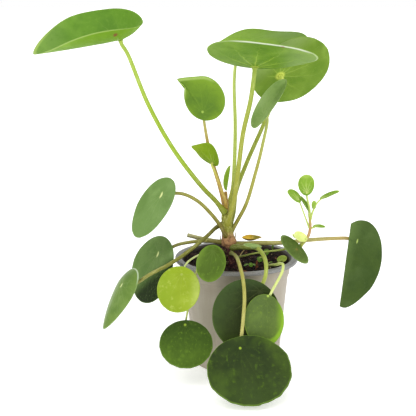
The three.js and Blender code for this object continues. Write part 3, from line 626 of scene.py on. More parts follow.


# A wash is (way in degrees from the tip, start, end, strength, colour); a rim is (way, start, end,
# width, colour), and a spot (u, v, radius, colour), all in millimetres from the hub. On a few
# leaves below, washes and rims hold painted shadow, painted sheen and painted highlights; each is noted where
# it stands.
LOOK = dict(
    rim_glow=0.1, mottle=0.3, mottle_scale=0.32, veins=0.1, under_veins=0.22, halo=0.6, blobs=0.0,
    hub_shade=0.2, hub=0.85, hub_radius=1.1, hub_stretch=1.0, hub_colour=HUB_COLOUR, edge_width=0.4,
    washes=(), rims=(), spots=(), roughness=(0.36, 0.52), specular=0.08, notch=0.004)
LOOKS = {
    # crown_left: its pale rim along the near edge is a painted highlight.
    "crown_left": dict(washes=((0, 40, 66, 0.3, (138, 166, 92)),), rims=((60, 8, 30, 1.1, (144, 172, 84)),),
        spots=((1, 20, 2.2, (118, 60, 34)),)),
    # crown_front: its two rims are painted highlights, a whitish band along the upper edge and a white glint
    # towards the tip.
    "crown_front": dict(under_veins=0.6, halo=1.0, edge_width=0.6, hub_radius=3.4,
        hub_colour=(196, 210, 92), washes=((90, 12, 40, 0.35, (140, 164, 92)),
        (-90, 14, 42, 0.4, (136, 164, 84))), rims=((35, 10, 50, 1.0, (176, 194, 146)),
        (10, 54, 66, 2.2, (204, 212, 190))), spots=((66, 20, 1.8, (124, 84, 66)),)),
    "crown_right": dict(under_veins=0.3, halo=1.0, hub=1.0, hub_shade=0.0, hub_radius=4.2,
        hub_colour=(198, 212, 92), washes=((-90, 4, 30, 0.75, (146, 170, 98)),)),
    "crown_back": dict(under_veins=0.15, washes=((-90, 8, 30, 0.5, (150, 180, 92)),
        (0, 20, 56, 0.7, (150, 180, 96)))),
    "crown_slim": dict(hub=0.0, veins=0.15),
    "young_cupped": dict(rim_glow=0.3, hub_colour=(158, 186, 84), rims=((0, 16, 26, 1.6, (150, 176, 90)),)),
    "young_side": dict(rim_glow=0.2, veins=0.3, hub=0.0),
    "left_upper": dict(veins=0.07, hub_stretch=2.8, roughness=(0.3, 0.44)),
    # left_middle: its two dark washes are painted shadow over the blade's lower part, where the next leaf and
    # its stalk shade it.
    "left_middle": dict(hub_shade=0.0, veins=0.05, hub_stretch=2.4, roughness=(0.3, 0.45), specular=0.03,
        washes=((40, 10, 20, 0.6, (44, 66, 20)), (40, 16, 26, 0.93, (26, 42, 8)))),
    # left_outer: its pale wash along one side and its pale rim are painted sheen, a silvery highlight along
    # its upper edge.
    "left_outer": dict(veins=0.08, hub_radius=0.8, hub_stretch=2.6, roughness=(0.28, 0.42),
        washes=((-90, 10, 17, 0.9, (188, 202, 178)),), rims=((180, 6, 16, 1.2, (176, 192, 164)),)),
    "rim_small": dict(rim_glow=0.3, mottle=0.8, mottle_scale=0.24, hub=0.0, veins=0.04, halo=0.2,
        hub_shade=0.0, blobs=0.3, washes=((-100, 4, 14, 0.5, (118, 146, 56)),
        (20, -2, 20, 0.4, (62, 82, 24)))),
    "rim_yellow": dict(rim_glow=0.0, veins=0.06, halo=0.3, mottle=0.7, mottle_scale=0.22, hub=0.15,
        washes=((-80, 0, 20, 0.6, (124, 150, 34)), (90, 6, 16, 0.4, (176, 190, 104)),
        (180, -4, 4, 0.4, (134, 158, 30)))),
    "low_left": dict(rim_glow=0.02, mottle=0.85, mottle_scale=0.36, veins=0.05, edge_width=0.6,
        hub_colour=(150, 178, 60), notch=0.01, blobs=0.7, washes=((0, 8, 34, 0.6, (84, 112, 34)),
        (180, -12, 0, 0.5, (44, 64, 20)))),
    "front_broad": dict(rim_glow=0.15, mottle=0.5, veins=0.07, hub=0.0,
        washes=((-120, 4, 30, 0.5, (66, 86, 46)), (180, -4, 12, 0.4, (66, 88, 48)))),
    "front_small": dict(rim_glow=0.0, veins=0.03, halo=0.2, hub=0.0, mottle=0.5,
        washes=((180, -34, -10, 0.25, (96, 116, 66)), (-90, -2, 12, 0.3, (84, 104, 56)),
        (90, 6, 16, 0.95, (124, 164, 36))), spots=((-5.5, 0.5, 1.2, (170, 196, 84)),),
        rims=((50, 6, 22, 2.4, (124, 162, 44)),)),
    "front_low": dict(rim_glow=0.02, mottle=0.8, mottle_scale=0.2, veins=0.03, hub_shade=0.7,
        edge_width=0.8, hub_colour=(150, 178, 52), notch=0.01, blobs=0.35,
        washes=((0, 14, 44, 0.3, (66, 88, 34)),)),
    "right": dict(rim_glow=0.05, veins=0.03, hub=0.8, hub_radius=0.6, hub_stretch=3.4,
        roughness=(0.3, 0.46), hub_colour=(168, 188, 100), washes=((180, -16, 14, 0.3, (84, 106, 56)),
        (-90, -4, 10, 0.55, (98, 122, 64)))),
    "young_rolled": dict(hub=0.0),
    "plantlet": dict(hub_colour=(150, 120, 60), hub=0.3, mottle=0.6, edge_width=0.7),
}
UNDER_ROUGHNESS = (0.5, 0.66)
THICKNESS = 0.75
RIPPLE = 0.012               # as a share of the blade's size
BLADE_SEGMENTS = 120
BLADE_RINGS = 22


def add_blade(name, leaf, colours, look, slot, node, segments, rings, thickness, ripple):
    size = min(leaf["size"])
    edge = Graph(f"{name}_edge", colours["edge"])
    edge.paint(edge.place().noise(260.0), colours["upper"][1])
    materials = [leaf_material(name, colours, side, look, size) for side in ("upper", "under")]
    shape = blade_mesh(leaf, look["seed"], segments, rings, thickness, ripple, look["notch"])
    add_shapes(name, slot, "leaf", [shape], [*materials, edge.finish(0.5)], [node])


SLOT_OF = {entry["node"]: entry["material_slot"] for entry in frame["record"]["subparts"]}
for index, (name, leaf) in enumerate(LEAVES.items()):
    look = {**LOOK, **LOOKS.get(name, {}), "seed": index + 3}
    node = f"blade_{name}"
    add_blade(f"leaf_{name}", leaf, COLOURS[name], look, SLOT_OF[node], node, BLADE_SEGMENTS,
              BLADE_RINGS, THICKNESS, RIPPLE * min(leaf["size"]))


# ---------------------------------------------------------------- stalks
def curve_points(route, count):
    """Points at even distances on a centripetal Catmull-Rom curve, as the part's tubes have."""
    knots = np.array(route, float)
    knots = np.vstack([2 * knots[0] - knots[1], knots, 2 * knots[-1] - knots[-2]])
    fine = []
    for p0, p1, p2, p3 in zip(knots, knots[1:], knots[2:], knots[3:]):
        d0, d1, d2 = (max(np.linalg.norm(b - a) ** 0.5, 1e-3) for a, b in ((p0, p1), (p1, p2), (p2, p3)))
        t1 = ((p1 - p0) / d0 - (p2 - p0) / (d0 + d1) + (p2 - p1) / d1) * d1
        t2 = ((p2 - p1) / d1 - (p3 - p1) / (d1 + d2) + (p3 - p2) / d2) * d1
        t = np.linspace(0, 1, 40, endpoint=False)[:, None]
        fine.append(p1 + t1 * t + (3 * (p2 - p1) - 2 * t1 - t2) * t ** 2 + (2 * (p1 - p2) + t1 + t2) * t ** 3)
    fine = np.vstack([*fine, knots[-2][None]])
    lengths = np.concatenate([[0], np.cumsum(np.linalg.norm(np.diff(fine, axis=0), axis=1))])
    at = np.linspace(0, lengths[-1], count)
    return np.column_stack([np.interp(at, lengths, fine[:, axis]) for axis in range(3)]), at


def tube(route, radius_at, sides, step):
    """Points, faces, indices and coordinates (distance, share, turn) of a closed round tube."""
    length = curve_points(route, 2)[1][-1]
    count = max(6, int(round(length / step)))
    centre, at = curve_points(route, count + 1)
    tangent = np.gradient(centre, axis=0)
    tangent /= np.linalg.norm(tangent, axis=1)[:, None]
    first = np.cross(tangent[0], (0.0, 0.0, 1.0))
    first = unit(first if np.linalg.norm(first) > 0.2 else np.cross(tangent[0], (1.0, 0.0, 0.0)))
    points, coordinates = [], []
    for place in range(count + 1):
        first = unit(first - tangent[place] * first.dot(tangent[place]))
        second = np.cross(tangent[place], first)
        for corner in range(sides):
            turn = 2 * math.pi * corner / sides
            radius = radius_at(at[place], at[-1], turn)
            points.append(centre[place] + radius * (math.cos(turn) * first + math.sin(turn) * second))
            coordinates.append((at[place], at[place] / at[-1], turn))
    faces = flipped(ring_faces(count + 1, sides))
    faces.append(list(range(sides))[::-1])
    faces.append([count * sides + corner for corner in range(sides)])
    return points, faces, [0] * len(faces), coordinates


def stalk_radius(start, end, flare=0.45, collar=0.5):
    """Even taper, with a swollen foot on the stem and a short flare under the blade."""
    def radius_at(at, total, turn):
        foot = 1 + flare * math.exp(-((at - 2) / 5.5) ** 2)
        head = 1 + collar * math.exp(-((total - at) / 1.4) ** 2)
        return (start + (end - start) * at / total) * foot * head
    return radius_at


def along_stalk(at, turn, stretch):
    """A place on a tube's skin, for grain that runs lengthwise."""
    return vector(at * stretch, turn.math("SINE"), turn.math("COSINE"))


def stalk_material(name):
    """A stalk: its three colours along it, fine lengthwise streaks, and small pale flecks."""
    foot, middle, head = STALK_COLOURS[name]
    graph = Graph(f"stalk_{name}", foot)
    at, share, turn = graph.attribute("stalk").parts()
    graph.paint(share.smooth(0.04, 0.42), middle)
    graph.paint(share.smooth(0.55, 0.97), head)
    streaks = along_stalk(at, turn, 0.06).noise(2.6, 3.0, 0.6)
    graph.paint(streaks.smooth(0.5, 0.72) * 0.3, (222, 224, 160))
    graph.paint(streaks.smooth(0.48, 0.3) * 0.45, foot)
    graph.paint(graph.place().cells(900.0).smooth(0.22, 0.1) * 0.35, (206, 206, 150))
    graph.bump(streaks, 0.2, 0.5)
    return graph.finish(0.42)


HUB_SINK = 0.15
STALK_SIDES = 14
STALK_STEP = 1.6


def stalk_route(leaf):
    """The stalk's route, ending just inside the underside of the dimpled blade."""
    _, _, normal = blade_frame(leaf)
    hub = np.array(leaf["hub"], float)
    depth = DIMPLE_DEPTH * min(leaf["size"]) + THICKNESS / 2 - HUB_SINK
    turn = depth + 1.0 + 2 * leaf["radii"][1]
    return [*leaf["route"], tuple(hub - normal * turn), tuple(hub - normal * depth)]


def add_stalk(name, slot, material, node, route, radii, sides=STALK_SIDES, step=STALK_STEP, **swelling):
    shape = tube(route, stalk_radius(*radii, **swelling), sides, step)
    add_shapes(name, slot, "stalk", [shape], [material], [node])


for name, leaf in LEAVES.items():
    if "route" in leaf:
        on_stem = name != "plantlet"
        node = f"stalk_{name}" if on_stem else "plantlet"
        add_stalk(f"petiole_{name}", SLOT_OF[node], stalk_material(name), node, stalk_route(leaf),
                  leaf["radii"], flare=0.45 if on_stem else 0.1)
add_stalk("petiole_stub", "stalk", stalk_material("cut"), "stalk_cut", **CUT_STALK, collar=0.1)

# ---------------------------------------------------------------- plantlet
young_stalk = stalk_material("young")
pale_stalk = stalk_material("pale")
for name, form, colour_name in (("runner", RUNNER, "runner"), ("shoot_stem", PLANTLET_STEM, "shoot")):
    add_stalk(name, "plantlet", stalk_material(colour_name), "plantlet", **form, sides=12, step=1.2,
              flare=0.2, collar=0.0)
for index, (name, leaf) in enumerate(PLANTLET_LEAVES.items()):
    pale = name.startswith("pale")
    look = {**LOOK, "seed": index + 31, "hub_radius": 0.6, "edge_width": 0.3, "veins": 0.5,
            "notch": 0.008, "mottle": 0.6, "mottle_scale": 0.45}
    add_blade(f"shoot_leaf_{name}", leaf, COLOURS["pale" if pale else "young"], look, "plantlet",
              "plantlet", segments=56, rings=12, thickness=0.55, ripple=0.25)
    if "route" in leaf:
        add_stalk(f"shoot_stalk_{name}", "plantlet", pale_stalk if pale else young_stalk, "plantlet",
                  [*leaf["route"], leaf["hub"]], leaf["radii"], sides=10, step=1.0, flare=0.25, collar=0.1)

look = {**LOOK, "seed": 51, "hub": 0.0, "mottle": 0.6, "veins": 0.4, "roughness": (0.6, 0.8), "notch": 0.03,
        "washes": ((0, 0, 7, 0.8, (104, 108, 40)),)}
add_blade("leaf_withered", WITHERED, COLOURS["dry"], look, "withered", "blade_withered",
          segments=72, rings=14, thickness=0.5, ripple=0.7)


# ---------------------------------------------------------------- main stem
def stem_material():
    """Dark ridged bark at the foot, a tan band, then green wood up to a paler tip."""
    graph = Graph("stem", (46, 22, 26))
    at, _, turn = graph.attribute("stalk").parts()
    place = graph.place()
    height = place.parts()[2] * (1 / MM) + place.noise(160.0) * 10.0 - 5.0
    around = along_stalk(at, turn, 0.12)
    streaks = around.noise(2.2, 4.0, 0.65, 0.4)
    green_wood = graph.mix(streaks.smooth(0.4, 0.66), (140, 142, 48), (182, 182, 100))
    graph.paint(streaks.smooth(0.42, 0.7), (84, 44, 46))
    graph.paint(height.smooth(115, 120), (178, 134, 92))
    graph.paint(height.smooth(125, 134), green_wood)
    graph.paint(height.smooth(148, 160), (180, 142, 74))
    graph.paint(place.cells(520.0).smooth(0.3, 0.12) * 0.5, (176, 150, 104))
    blotches = place.noise(240.0, 3.0, 0.6).smooth(0.5, 0.66) * 0.6
    graph.paint(blotches * height.smooth(134, 126), (104, 64, 48))
    cracks = around.cells(3.4, "DISTANCE_TO_EDGE")
    graph.bump(streaks * 0.7 + cracks.smooth(0.0, 0.12), 0.7, 0.8)
    return graph.finish(streaks * 0.3 + 0.5)


# Scars of fallen leaves: height on the stem and the side they face, in degrees.
SCARS = [(97, 10), (101, 150), (104, 260), (108, 60), (111, 200), (115, 330), (119, 110),
         (123, 240), (128, 20), (133, 300), (141, 200), (146, 60)]
SCAR_HALF_HEIGHT = 1.7
SCAR_HALF_WIDTH = 0.62       # in radians round the stem
SCAR_SWELL = 0.6
SCAR_NOTCH = 0.4             # the groove just above the swelling
BARK_FADE = (112, 126)       # the bark's grain weakens between these heights
# A swollen ring where the lowest stalks leave the stem.
RING_HEIGHT, RING_HALF_HEIGHT, RING_SWELL = 122, 3.6, 1.7


def stem_radius_at(at, total, turn):
    """The stem's even taper with scars, lengthwise grain and the ring."""
    place = at / total * (len(STEM) - 1)
    index = min(int(place), len(STEM) - 2)
    radius = STEM[index][1] + (STEM[index + 1][1] - STEM[index][1]) * (place - index)
    height = STEM[0][0][2] + at
    for scar_height, scar_side in SCARS:
        off = turn - math.radians(scar_side)
        wide = math.atan2(math.sin(off), math.cos(off)) / SCAR_HALF_WIDTH
        level = (height - scar_height) / SCAR_HALF_HEIGHT
        radius += SCAR_SWELL * math.exp(-level * level - wide * wide)
        radius -= SCAR_NOTCH * math.exp(-((level - 0.55) / 0.35) ** 2 - (wide * 1.3) ** 2)
    faded = min(max((height - BARK_FADE[0]) / (BARK_FADE[1] - BARK_FADE[0]), 0), 1)
    woody = 1 - faded * faded * (3 - 2 * faded)
    grain = 0.22 * math.sin(5 * turn + 0.11 * height) + 0.16 * math.sin(9 * turn - 0.23 * height + 1)
    ring = RING_SWELL * math.exp(-((height - RING_HEIGHT) / RING_HALF_HEIGHT) ** 2)
    return radius + grain * (0.35 + 0.65 * woody) + ring


shape = tube([point for point, _ in STEM], stem_radius_at, sides=48, step=0.8)
add_shapes("stem", "bark", "stalk", [shape], [stem_material()], ["main_stem"])

# ---------------------------------------------------------------- pot
COLLAR_FOOT = POT_HEIGHT - LIP_HEIGHT - COLLAR_HEIGHT
INNER_FOOT = BASE_RAISE + POT_WALL
INNER_COLLAR_FOOT = BODY_TOP_RADIUS - POT_WALL - 0.2
# The collar's walls lean out by this share of their height. Taking it off, their middle has one radius.
WALL_LEAN = 0.112
WALL_MIDDLE = 41.45
MOUTH_RADIUS = RIM_RADIUS - 5.6
MOUTH_ROUNDING = 1.2
CORNER_ROUNDING = 0.35
POT_SEGMENTS = 192


def rounded(profile, rounding, steps=4):
    """The profile with its corners cut into short arcs; rounding holds the corners' own sizes."""
    result = [profile[0]]
    for before, corner, after in zip(profile, profile[1:], profile[2:]):
        middle = np.array(corner, float)
        back, ahead = np.array(before, float) - middle, np.array(after, float) - middle
        size = min(rounding.get(corner, CORNER_ROUNDING), 0.45 * np.linalg.norm(back),
                   0.45 * np.linalg.norm(ahead))
        start, end = middle + unit(back) * size, middle + unit(ahead) * size
        for t in np.linspace(0, 1, steps + 1):
            result.append(tuple((1 - t) ** 2 * start + 2 * t * (1 - t) * middle + t ** 2 * end))
    result.append(profile[-1])
    return result


def pot_material():
    """Taupe plastic: streaks, a cooler lip, a dark inner wall, shade under the lip and leaves, and dirt."""
    graph = Graph("pot_plastic", (158, 148, 132))
    place = graph.place()
    x, y, z = (part * (1 / MM) for part in place.parts())
    turn = y.math("ARCTAN2", x)
    radius = distance(x, y)
    streaks = vector(turn.math("SINE"), turn.math("COSINE"), z * 0.003).noise(7.0, 4.0, 0.6)
    cloud = place.noise(22.0)
    speckle = place.noise(900.0, 2.0, 0.6)
    warm = (140, 128, 112)
    graph.paint(streaks.smooth(0.35, 0.7) * 0.35 + 0.3, (176, 168, 154))
    graph.paint(cloud.smooth(0.5, 0.75) * 0.35, warm)
    graph.paint(speckle.smooth(0.56, 0.72) * 0.25, warm)
    lip_foot = POT_HEIGHT - LIP_HEIGHT
    cool = graph.mix(speckle.smooth(0.4, 0.66), (126, 126, 126), (146, 146, 146))
    graph.paint(z.smooth(lip_foot - 1, lip_foot + 0.3), cool)
    wall = (radius - z * WALL_LEAN).smooth(WALL_MIDDLE + 0.25, WALL_MIDDLE - 0.25)
    wall = wall * z.smooth(COLLAR_FOOT - 1.3, COLLAR_FOOT + 0.7)
    mouth = radius.smooth(MOUTH_RADIUS + 0.2, MOUTH_RADIUS - 0.6)
    mouth = mouth * z.smooth(POT_HEIGHT - 2.2, POT_HEIGHT - 1.6)
    graph.paint(wall.math("MAXIMUM", mouth), (52, 44, 36))
    under_lip = z.smooth(lip_foot - 1.6, lip_foot - 0.2) * z.smooth(lip_foot + 0.6, lip_foot)
    graph.paint(under_lip * 0.7, (60, 55, 48))
    shaded_front = y.smooth(-36, -50) * x.math("ABSOLUTE").smooth(30, 6) * z.smooth(50, 85)
    graph.paint(shaded_front * 0.35, (96, 88, 72))
    dusty = z.smooth(6, 0).math("MAXIMUM", z.smooth(POT_HEIGHT - 2.5, POT_HEIGHT + 0.2))
    graph.paint(place.noise(120.0, 4.0, 0.7).smooth(0.56, 0.72) * 0.6 * dusty, (92, 78, 66))
    scuffs = vector(x * MM, y * MM, z * (9.0 * MM)).noise(260.0, 2.0)
    graph.bump(speckle + scuffs * 0.6, 0.12, 0.5)
    return graph.finish(cloud * 0.2 + 0.36)


def pot_shell():
    """The pot's outline, from the middle of its foot round the rim to the middle of its floor, turned."""
    lip_foot = POT_HEIGHT - LIP_HEIGHT
    lip_back, lip_roof = RIM_RADIUS - 1.4, POT_HEIGHT - 1.8
    profile = [
        (0, 0), (CENTRE_PAD_RADIUS, 0), (CENTRE_PAD_RADIUS + 1, BASE_RAISE), (FOOT_RADIUS - 5, BASE_RAISE),
        (FOOT_RADIUS - 4, 0), (FOOT_RADIUS, 0), (FOOT_RADIUS + 0.5, 0.6), (BODY_TOP_RADIUS, COLLAR_FOOT - 1),
        (BODY_TOP_RADIUS + 1.1, COLLAR_FOOT), (COLLAR_RADIUS, lip_roof), (lip_back, lip_roof),
        (lip_back, lip_foot), (RIM_RADIUS, lip_foot), (RIM_RADIUS, POT_HEIGHT - 0.8),
        (RIM_RADIUS - 0.7, POT_HEIGHT), (MOUTH_RADIUS, POT_HEIGHT),
        (COLLAR_RADIUS - POT_WALL, POT_HEIGHT - 2.2), (INNER_COLLAR_FOOT + 1.4, COLLAR_FOOT + 0.8),
        (INNER_COLLAR_FOOT, COLLAR_FOOT - 0.8), (FOOT_RADIUS - 1, INNER_FOOT), (0, INNER_FOOT),
    ]
    inner = rounded(profile, {(MOUTH_RADIUS, POT_HEIGHT): MOUTH_ROUNDING})[1:-1]
    points = [(0, 0, 0)]
    for radius, height in inner:
        points += [(x, y, height) for x, y in circle(radius, POT_SEGMENTS)]
    points.append((0, 0, INNER_FOOT))
    return points, flipped(turned_faces(len(inner), POT_SEGMENTS))


def cutters():
    """Closed prisms for the drain holes and the foot notches."""
    made = []
    for index in range(2 * DRAIN_COUNT):
        turn = math.pi * index / DRAIN_COUNT
        hole = index % 2 == 0
        away, height = (DRAIN_CIRCLE, BASE_RAISE + POT_WALL / 2) if hole else (FOOT_RADIUS, 0)
        spot = Vector((away * math.cos(turn), away * math.sin(turn), height)) * MM
        if hole:
            bpy.ops.mesh.primitive_cylinder_add(vertices=32, radius=DRAIN_RADIUS * MM,
                                                depth=4 * POT_WALL * MM, location=spot)
        else:
            bpy.ops.mesh.primitive_cube_add(size=1, location=spot, rotation=(0, 0, turn))
            bpy.context.object.scale = (NOTCH_DEPTH * MM, NOTCH_WIDTH * MM, 2 * NOTCH_HEIGHT * MM)
        made.append(bpy.context.object)
    return made


pot = add_piece("pot_shell", "pot", *pot_shell(), [pot_material()], replaces=["pot"])
tools = cutters()
for tool in tools:
    cut = pot.modifiers.new("cut", "BOOLEAN")
    cut.operation = "DIFFERENCE"
    cut.solver = "EXACT"
    cut.object = tool
bpy.context.view_layer.update()
cut_mesh = bpy.data.meshes.new_from_object(pot.evaluated_get(bpy.context.evaluated_depsgraph_get()))
pot.modifiers.clear()
pot.data = cut_mesh
for tool in tools:
    bpy.data.objects.remove(tool)
bpy.context.view_layer.objects.active = pot
pot.select_set(True)
bpy.ops.object.shade_auto_smooth(angle=math.radians(35))


# ---------------------------------------------------------------- soil
def soil_height(x, y):
    """Lumps, a low mound in the middle, and a bank that rises towards the back of the rim."""
    lumps = math.sin(0.21 * x + 0.8) * math.cos(0.17 * y) + 0.6 * math.sin(0.37 * x - 0.31 * y)
    mound = 1.5 * math.exp(-(x * x + y * y) / 700)
    bank = 8 * max(0, (y + 30) / 80) * (x * x + y * y) / 2500
    return SOIL_LEVEL + SOIL_BUMP * lumps + mound + bank


def soil_material(name, dark, main, light, roughness=0.9):
    """Soil, bark or straw: fine grains of two tones under soft patches of a lighter one."""
    graph = Graph(name, dark)
    place = graph.place()
    grains = place.noise(420.0, 5.0, 0.7)
    graph.paint(grains.smooth(0.38, 0.62), main)
    graph.paint(place.noise(110.0).smooth(0.52, 0.7) * 0.7, light)
    graph.bump(grains + place.cells(700.0, "DISTANCE_TO_EDGE") * 0.6, 0.9)
    return graph.finish(grains * 0.3 + (roughness - 0.2))


SOIL_SEGMENTS = 160
SOIL_RINGS = 60
SOIL_ROUGHNESS = 0.22


def soil_bed():
    """The filling: a finely rough top, and walls and a floor just inside the pot's."""
    draw = random.Random(11)
    waves = [(draw.uniform(0.5, 1.6), draw.uniform(0, DRAWN_TURN), draw.uniform(0, DRAWN_TURN))
             for _ in range(14)]
    points = [(0, 0, soil_height(0, 0))]
    rings = np.linspace(0, INNER_COLLAR_FOOT + 2.2, SOIL_RINGS)[1:]
    for radius in rings:
        for x, y in circle(radius, SOIL_SEGMENTS):
            rough = sum(math.sin(rate * (x * math.cos(way) + y * math.sin(way)) + shift)
                        for rate, way, shift in waves) * SOIL_ROUGHNESS
            points.append((x, y, soil_height(x, y) + rough))
    walls = [(INNER_COLLAR_FOOT + 1.0, COLLAR_FOOT + 0.8), (INNER_COLLAR_FOOT - 0.2, COLLAR_FOOT - 0.6),
             (INNER_COLLAR_FOOT - 0.5, COLLAR_FOOT - 3), (FOOT_RADIUS - 1.4, INNER_FOOT + 0.35)]
    for radius, height in walls:
        points += [(x, y, height) for x, y in circle(radius, SOIL_SEGMENTS)]
    points.append((0, 0, INNER_FOOT + 0.35))
    return points, turned_faces(len(rings) + len(walls), SOIL_SEGMENTS)


add_piece("soil_bed", "soil", *soil_bed(),
          [soil_material("soil", (20, 13, 10), (38, 26, 20), (66, 44, 36))], replaces=["soil"])

BOX_CORNERS = [(x, y, z) for x in (-1, 1) for y in (-1, 1) for z in (-1, 1)]
BOX_SIDES = [(0, 1, 3, 2), (4, 6, 7, 5), (0, 4, 5, 1), (2, 3, 7, 6), (0, 2, 6, 4), (1, 5, 7, 3)]
CRUMB_SPREAD = 47.0
CRUMB_LIFT = 0.3             # in crumb sizes above the soil
STEM_SPOT = (-5, -5)
STEM_CLEARANCE = 7.5         # no crumbs within this distance of the stem's middle


def scatter(name, seed, count, sizes, flatness, colours):
    """Small broken lumps on the soil, each a jittered box with its corners cut by a subdivision."""
    draw = random.Random(seed)
    points, faces, indices = [], [], []
    for _ in range(count):
        away, turn = CRUMB_SPREAD * math.sqrt(draw.random()), draw.uniform(0, DRAWN_TURN)
        x, y = away * math.cos(turn), away * math.sin(turn)
        if math.dist((x, y), STEM_SPOT) < STEM_CLEARANCE:
            continue
        size = draw.uniform(*sizes)
        shape = np.array([size * draw.uniform(0.7, 1.6), size * draw.uniform(0.6, 1.0),
                          size * flatness * draw.uniform(0.6, 1.2)]) / 2
        spin, lean = draw.uniform(0, DRAWN_TURN), draw.uniform(-0.6, 0.6)
        pose = np.array(Matrix.Rotation(spin, 3, "Z") @ Matrix.Rotation(lean, 3, "Y"))
        centre = np.array([x, y, soil_height(x, y) + CRUMB_LIFT * size])
        start = len(points)
        for corner in BOX_CORNERS:
            jitter = [draw.uniform(0.65, 1.1) for _ in range(3)]
            points.append(centre + pose @ (np.array(corner) * shape * jitter))
        faces += [[start + corner for corner in side] for side in BOX_SIDES]
        indices += [draw.randrange(len(colours))] * len(BOX_SIDES)
    piece = add_piece(name, "soil", points, faces, colours, indices)
    divide = piece.modifiers.new("round", "SUBSURF")
    divide.levels = divide.render_levels = 1


crumb = [soil_material("crumb_dark", (18, 12, 10), (34, 23, 18), (52, 36, 30)),
         soil_material("crumb_brown", (40, 26, 20), (66, 44, 34), (92, 64, 52))]
chip = [soil_material("chip_red", (70, 40, 30), (108, 66, 48), (140, 96, 74), 0.8),
        soil_material("chip_tan", (96, 66, 46), (138, 100, 70), (176, 140, 104), 0.8)]
straw_bit = [soil_material("straw", (170, 150, 110), (204, 190, 150), (226, 216, 184), 0.8)]
scatter("soil_crumbs", 5, 900, (1.0, 3.2), 0.8, crumb)
scatter("bark_chips", 6, 60, (2.2, 5.0), 0.3, chip)
scatter("straw_bits", 7, 16, (1.5, 3.4), 0.15, straw_bit)


# ---------------------------------------------------------------- small growth and litter
def add_small_blades(name, slot, leaves):
    """Several small blades of one colour as one piece. A leaf is (hub, aim, size)."""
    look = {**LOOK, "seed": 60 + len(name), "hub": 0.0, "veins": 0.3, "edge_width": 0.2}
    shapes = []
    for index, (hub, aim, size) in enumerate(leaves):
        leaf = dict(hub=hub, aim=aim, size=size, back=0.12, cup=0.08 * size[1])
        shapes.append(blade_mesh(leaf, seed=index + 71, segments=40, rings=8, thickness=0.4, ripple=0.2,
                                 notch=0.01))
    upper, under = (leaf_material(name, COLOURS[name], side, look, size=8.0) for side in ("upper", "under"))
    add_shapes(name, slot, "leaf", shapes, [upper, under, upper])


def add_tubes(name, slot, material, tubes, sides=8):
    """Several thin tubes of one material as one piece. A tube is (start radius, end radius, route)."""
    shapes = [tube(route, stalk_radius(start, end, flare=0.1, collar=0.0), sides, 0.8)
              for start, end, route in tubes]
    add_shapes(name, slot, "stalk", shapes, [material])


add_small_blades("seedlings", "plantlet", [
    ((11.0, -9.0, 100.2), (-75, 25, 0), (5.0, 4.4)),
    ((13.6, -9.2, 101.2), (10, 50, 0), (4.6, 4.2)),
    ((16.0, -8.6, 99.8), (75, 20, 0), (5.0, 4.4)),
    ((22.9, 13.0, 101.0), (30, 55, 0), (6.4, 6.2)),
    ((32.4, 32.0, 103.4), (-30, 45, 0), (8.0, 6.6)),
    ((38.0, 35.0, 103.6), (20, -75, 0), (5.0, 2.4)),
    ((33.8, 2.0, 99.2), (80, 10, 0), (3.6, 2.2)),
])
add_tubes("seedling_stalks", "plantlet", pale_stalk, [
    (0.45, 0.35, [(13.5, -6, 95.5), (13.8, -6.6, 98), (13.6, -8.8, 100.8)]),
    (0.35, 0.3, [(13.7, -7, 98.2), (12.4, -8, 99.4), (11.2, -8.8, 100)]),
    (0.35, 0.3, [(13.7, -7, 98.2), (14.8, -8, 99.2), (15.8, -8.5, 99.7)]),
    (0.5, 0.4, [(31, 11, 96), (29, 12, 99.5), (26, 13, 101), (23.3, 13.3, 100.6)]),
    (0.5, 0.4, [(32, 35, 95.5), (32.4, 34.5, 100), (32.4, 32.4, 103)]),
    (0.5, 0.4, [(38, 35, 95.5), (38.2, 35.4, 100), (38, 35, 103.6)]),
    (0.4, 0.3, [(31.5, 2.5, 96.5), (32.6, 2.2, 98.6), (33.8, 2, 99)]),
])
add_small_blades("rim_shoot", "plantlet", [
    ((42.4, 1.6, 99.6), (146, -12, 18), (14.0, 8.4)),
    ((40.6, 0.6, 98.6), (100, -20, -20), (7.0, 4.4)),
])
add_small_blades("arch_sprig", "plantlet", [
    ((20.0, -37.0, 125.6), (-68, -10, -44), (18.0, 4.6)),
    ((21.6, -38.0, 125.2), (-92, 10, -30), (10.0, 3.0)),
])
add_tubes("rim_shoot_stalk", "plantlet", pale_stalk, [
    (0.6, 0.5, [(37, -2, 95.5), (38.6, -1, 97.4), (42.6, 1.8, 99.3)]),
])
add_tubes("stem_scales", "bark", stalk_material("old"), [
    (0.7, 0.3, [(-2.6, -5.2, 121.6), (-1.4, -5.4, 126), (-0.8, -5.2, 131.4)]),
    (0.7, 0.25, [(-14.4, -3.6, 120.6), (-15.6, -3.8, 124), (-15.6, -3.8, 128)]),
])
straw = soil_material("straw_dry", (150, 128, 80), (190, 170, 118), (214, 200, 160), 0.8)
add_tubes("straws", "soil", straw, [
    (0.45, 0.35, [(4, 23, 98.6), (6, 27, 101), (8.6, 33, 102.6), (11.1, 39.4, 103)]),
    (0.4, 0.3, [(-30, -14, 97.4), (-27, -20, 98.2), (-22, -27, 97.2)]),
    (0.4, 0.3, [(18, -30, 97.2), (24, -33, 98.4), (31, -33, 97.4)]),
])
bark_bit = soil_material("bark_bit", (96, 56, 34), (130, 78, 46), (164, 112, 74), 0.8)
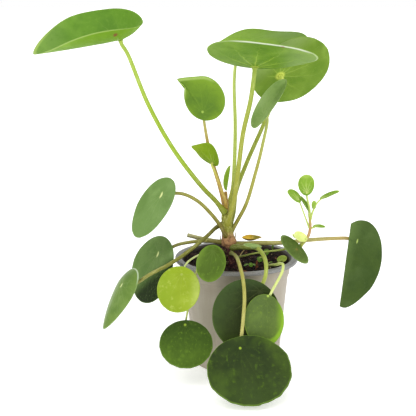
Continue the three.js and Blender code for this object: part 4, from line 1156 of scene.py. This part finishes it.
add_tubes("bark_splinters", "soil", bark_bit, [
    (1.5, 0.8, [(19.6, -12, 95), (19.8, -11.6, 98), (19.4, -11.8, 101), (20.2, -12, 104.6)]),
    (1.2, 0.7, [(2, -24, 96.8), (6, -25.5, 98), (10, -25, 97)]),
    (1.1, 0.6, [(-26, 8, 97), (-23, 11, 98.6), (-19, 12, 97.6)]),
], sides=5)

# ---------------------------------------------------------------- stage, in metres
FLOOR_SIZE = 400.0
FLOOR_DROP = 0.0002          # keeps the floor from touching the pot's foot
FLOOR_GLOW = 0.35
WHITE = (1, 1, 1, 1)
floor_graph = Graph("floor", (246, 246, 245))
floor_graph.paint(floor_graph.place().noise(2.0), (250, 250, 250))
floor_graph.shader.inputs["Emission Color"].default_value = WHITE
floor_graph.shader.inputs["Emission Strength"].default_value = FLOOR_GLOW
bpy.ops.mesh.primitive_plane_add(size=FLOOR_SIZE, location=(0, 0, -FLOOR_DROP))
floor = bpy.context.object
floor.name = "floor"
floor.data.materials.append(floor_graph.finish(0.9))

world = bpy.data.worlds.new("studio")
bpy.context.scene.world = world
world.use_nodes = True
background = world.node_tree.nodes["Background"].inputs
background["Color"].default_value = WHITE
background["Strength"].default_value = 1.0
bpy.context.scene.view_settings.view_transform = "Standard"


def add_sun(name, place, power, width):
    """A sun that shines from this place onto the plant's middle; its width softens the shadows."""
    data = bpy.data.lights.new(name, "SUN")
    data.energy = power
    data.angle = math.radians(width)
    light = add_object(name, data)
    light.location = place
    light.rotation_euler = (PLANT_MIDDLE - Vector(place)).to_track_quat("-Z", "Y").to_euler()


PLANT_MIDDLE = Vector((0, 0, 0.15))
add_sun("key", (-0.5, -0.9, 1.5), 1.0, 50)
add_sun("fill", (0.9, -1.0, 0.6), 0.3, 60)

CAMERA_TILT = 12.4           # degrees down
camera_data = bpy.data.cameras.new("camera")
camera_data.lens = 79.18
camera_data.sensor_width = 36
camera = add_object("camera", camera_data)
camera.location = (-0.0278, -0.868, 0.345)
camera.rotation_euler = (math.radians(90 - CAMERA_TILT), 0, 0)
bpy.context.scene.camera = camera
